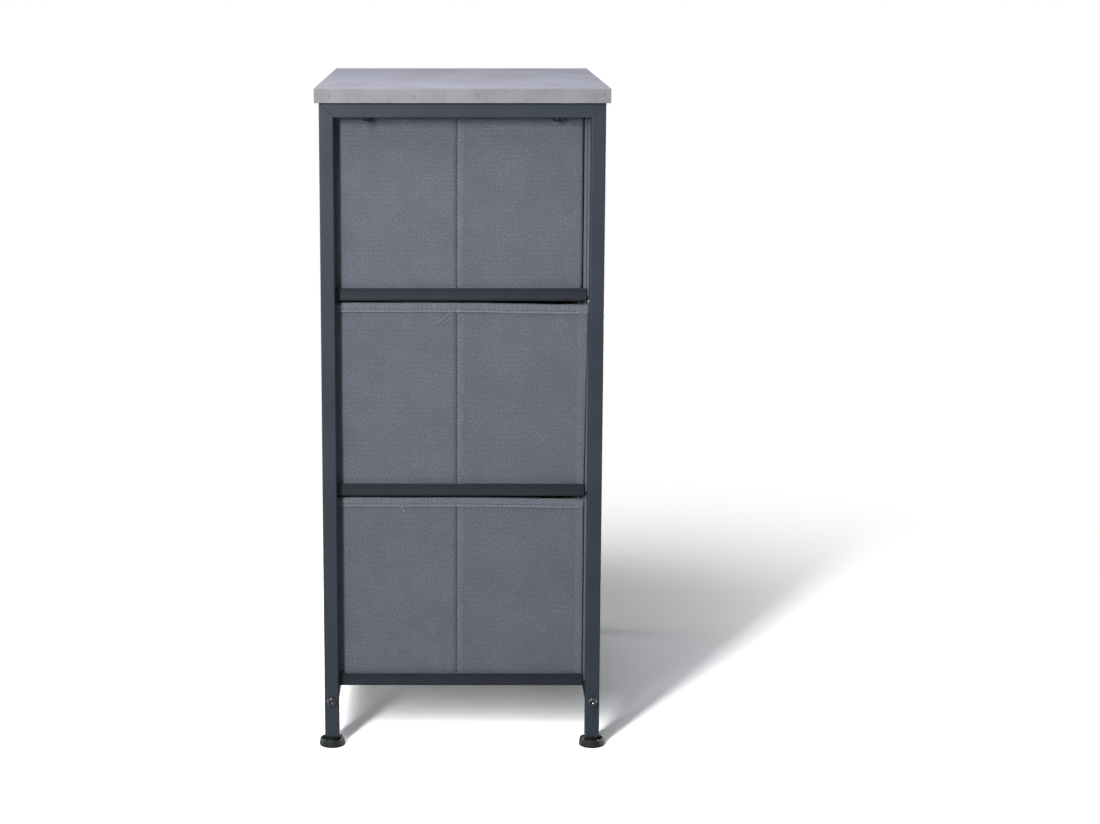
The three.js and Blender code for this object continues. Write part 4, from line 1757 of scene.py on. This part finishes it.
    def keep_boards(self) -> None:
        """Give the boards that stay between the cloths their finish."""
        walls = ("left_rear", "left_front", "right_rear", "right_front", "back")
        kept = {f"{wall}_stiffener": Finish.GREYBOARD for wall in walls}
        for part, finish in {**kept, "front_board": Finish.FIBREBOARD}.items():
            for slot in bpy.data.objects[self.node(part)].material_slots:
                slot.material = finish.material

    def build(self) -> None:
        """Make the whole bin."""
        self.keep_boards()
        self.outer_cloth()
        self.lining()
        self.rim_binding()
        self.fold_seam()
        self.base_board()
        self.front_cover()
        self.strap()
        if any(self.temper.lap):
            self.front_lap()
        if self.temper.loose_thread:
            self.loose_thread()


def hang(name: str, data: bpy.types.ID, place: Sequence[float] = (0.0, 0.0, 0.0)) -> bpy.types.Object:
    """Put a lamp, a camera or a mesh into the scene.

    Args:
        name: The object's name.
        data: The lamp, camera or mesh.
        place: Where it stands.

    Returns:
        The object.
    """
    made = bpy.data.objects.new(name, data)
    made.location = place
    bpy.context.scene.collection.objects.link(made)
    return made


@dataclass(frozen=True)
class Lamp:
    """One soft lamp: where it hangs, what it points at, its width and height and its watts."""

    name: str
    place: tuple[float, float, float]
    aim: tuple[float, float, float]
    size: tuple[float, float]
    power: float
    fill: bool = False

    def build(self, floor: bpy.types.Object) -> None:
        """Hang the lamp.

        Args:
            floor: The floor, which a fill lamp leaves to the main lamps' shadow.
        """
        data = bpy.data.lights.new(self.name, "AREA")
        data.shape, data.energy = "RECTANGLE", self.power
        data.size, data.size_y = self.size
        made = hang(self.name, data, self.place)
        made.rotation_mode = "QUATERNION"
        made.rotation_quaternion = (Vector(self.aim) - Vector(self.place)).to_track_quat("-Z", "Y")
        if self.fill:
            unlit = bpy.data.collections.new(f"{self.name}_unlit")
            unlit.objects.link(floor)
            made.light_linking.receiver_collection = unlit
            unlit.collection_objects[0].light_linking.link_state = "EXCLUDE"


@dataclass
class Studio:
    """The pale floor, the lamps and the camera at the photograph's viewing angle."""

    image_width: int = 1100
    focal_pixels: float = 2300.0
    sensor: float = 36.0
    eye: tuple[float, float, float] = (-2.5555, 0.0073, 0.8209)
    pitch: float = 10.29
    yaw: float = 0.092
    shift: tuple[float, float] = (0.0895, -0.03)
    clip: tuple[float, float] = (0.05, 60.0)
    floor_half: float = 14.0
    floor_white: tuple[float, float] = (0.34, 0.98)
    floor_centre: tuple[float, float, float] = (-0.12, 0.1, 0.0)
    floor_gain: float = 2.72
    floor_glow: float = 0.02
    floor_grey: tuple[float, ...] = (0.46, 0.46, 0.463, 1.0)
    world_fill: float = 0.058
    world_gloss: float = 0.24
    lamps: tuple[Lamp, ...] = (
        Lamp("key_lamp", (-1.95, 0.76, 1.22), (-0.15, 0.0, 0.5), (0.2, 1.1), 35.5),
        Lamp("top_lamp", (-0.5, 0.34, 1.8), (-0.06, -0.02, 0.6), (0.8, 0.8), 11.8),
        Lamp("front_fill", (0.5, -2.4, 0.065), (0.0, 0.0, 0.4), (1.4, 0.11), 18.0),
        Lamp("end_fill", (2.5, -0.8, 0.09), (0.0, 0.0, 0.4), (1.3, 0.14), 24.0),
        Lamp("rear_fill", (0.5, 2.5, 0.3), (0.0, 0.0, 0.4), (1.3, 0.4), 24.0),
        Lamp("high_front_fill", (0.5, -2.3, 0.9), (0.0, -0.1, 0.4), (1.3, 0.9), 18.0, True),
        Lamp("high_end_fill", (2.5, 0.3, 0.42), (0.0, 0.0, 0.4), (1.2, 0.44), 12.0, True),
    )

    def camera(self) -> None:
        """Stand the camera beside the dresser, looking along +X."""
        data = bpy.data.cameras.new("studio_camera")
        data.sensor_width = self.sensor
        data.lens = self.focal_pixels * self.sensor / self.image_width
        data.shift_x, data.shift_y = self.shift
        data.clip_start, data.clip_end = self.clip
        made = hang("studio_camera", data, self.eye)
        made.rotation_euler = (math.radians(90 - self.pitch), 0.0, math.radians(-90 + self.yaw))
        bpy.context.scene.camera = made

    def floor(self) -> bpy.types.Object:
        """Lay a pale floor that keeps the shadow and turns plain white further out.

        Returns:
            The floor.
        """
        half = self.floor_half
        mesh = bpy.data.meshes.new("studio_floor")
        corners = [(x * half, y * half, 0.0) for x, y in ((-1, -1), (1, -1), (1, 1), (-1, 1))]
        mesh.from_pydata(corners, [], [(0, 1, 2, 3)])
        made = hang("studio_floor", mesh)
        material = bpy.data.materials.new("pale floor")
        material.use_nodes = True
        wiring = Wiring(material.node_tree)
        plain, bright = (
            wiring.node("BsdfDiffuse", Color=colour).outputs[0]
            for colour in (self.floor_grey, (self.floor_gain,) * 3 + (1.0,))
        )
        glow, white = (
            wiring.node("Emission", Color=colour, Strength=strength).outputs[0]
            for colour, strength in (((1.0, 0.99, 1.0, 1.0), self.floor_glow), (WHITE, 1.0))
        )
        near = wiring.node("AddShader", bright, glow).outputs[0]
        source = wiring.node("TexCoord").outputs["Object"]
        moved = wiring.node("Mapping", Vector=source, Location=self.floor_centre).outputs[0]
        away = wiring.node("VectorMath", moved, operation="LENGTH").outputs["Value"]
        shown = wiring.node("MixShader", wiring.remap(away, *self.floor_white), near, white).outputs[0]
        both = wiring.node("MixShader", self.seen(wiring), plain, shown).outputs[0]
        wiring.node("OutputMaterial", Surface=both)
        mesh.materials.append(material)
        return made

    @staticmethod
    def seen(wiring: Wiring) -> Socket:
        """Whether the camera sees a place, straight or through something clear."""
        ray = wiring.node("LightPath").outputs
        return wiring.sum("MAXIMUM", ray["Is Camera Ray"], ray["Is Transmission Ray"])

    def world(self) -> None:
        """Fill softly from all round, show white behind the dresser and a pale room in its gloss."""
        world = bpy.data.worlds.new("studio_world")
        bpy.context.scene.world = world
        world.use_nodes = True
        wiring = Wiring(world.node_tree)
        glossy = wiring.node("LightPath").outputs["Is Glossy Ray"]
        mirrored = wiring.sum("MULTIPLY", glossy, self.world_gloss)
        strength = wiring.sum("MAXIMUM", wiring.sum("MAXIMUM", self.seen(wiring), mirrored), self.world_fill)
        sky = wiring.node("Background", Color=WHITE, Strength=strength).outputs[0]
        wiring.node("OutputWorld", Surface=sky)

    def build(self) -> None:
        """Set up the studio."""
        self.camera()
        floor = self.floor()
        self.world()
        for lamp in self.lamps:
            lamp.build(floor)


def main() -> None:
    """Build the studio and then the dresser, piece by piece."""
    logging.basicConfig(level=logging.INFO, format="%(name)s: %(message)s")
    bpy.context.scene.view_settings.view_transform = "Standard"
    Studio().build()
    TopBoard().build()
    for side in Side:
        SideFrame(side).build()
        for tier in Tier:
            Runner(side, tier).build()
        for end in End:
            LevellingFoot(side, end).build()
    for end in End:
        Stretcher(end).build()
    ButtonScrew().build()
    for tier in Tier:
        FabricBin(tier).build()


if __name__ == "__main__":
    main()
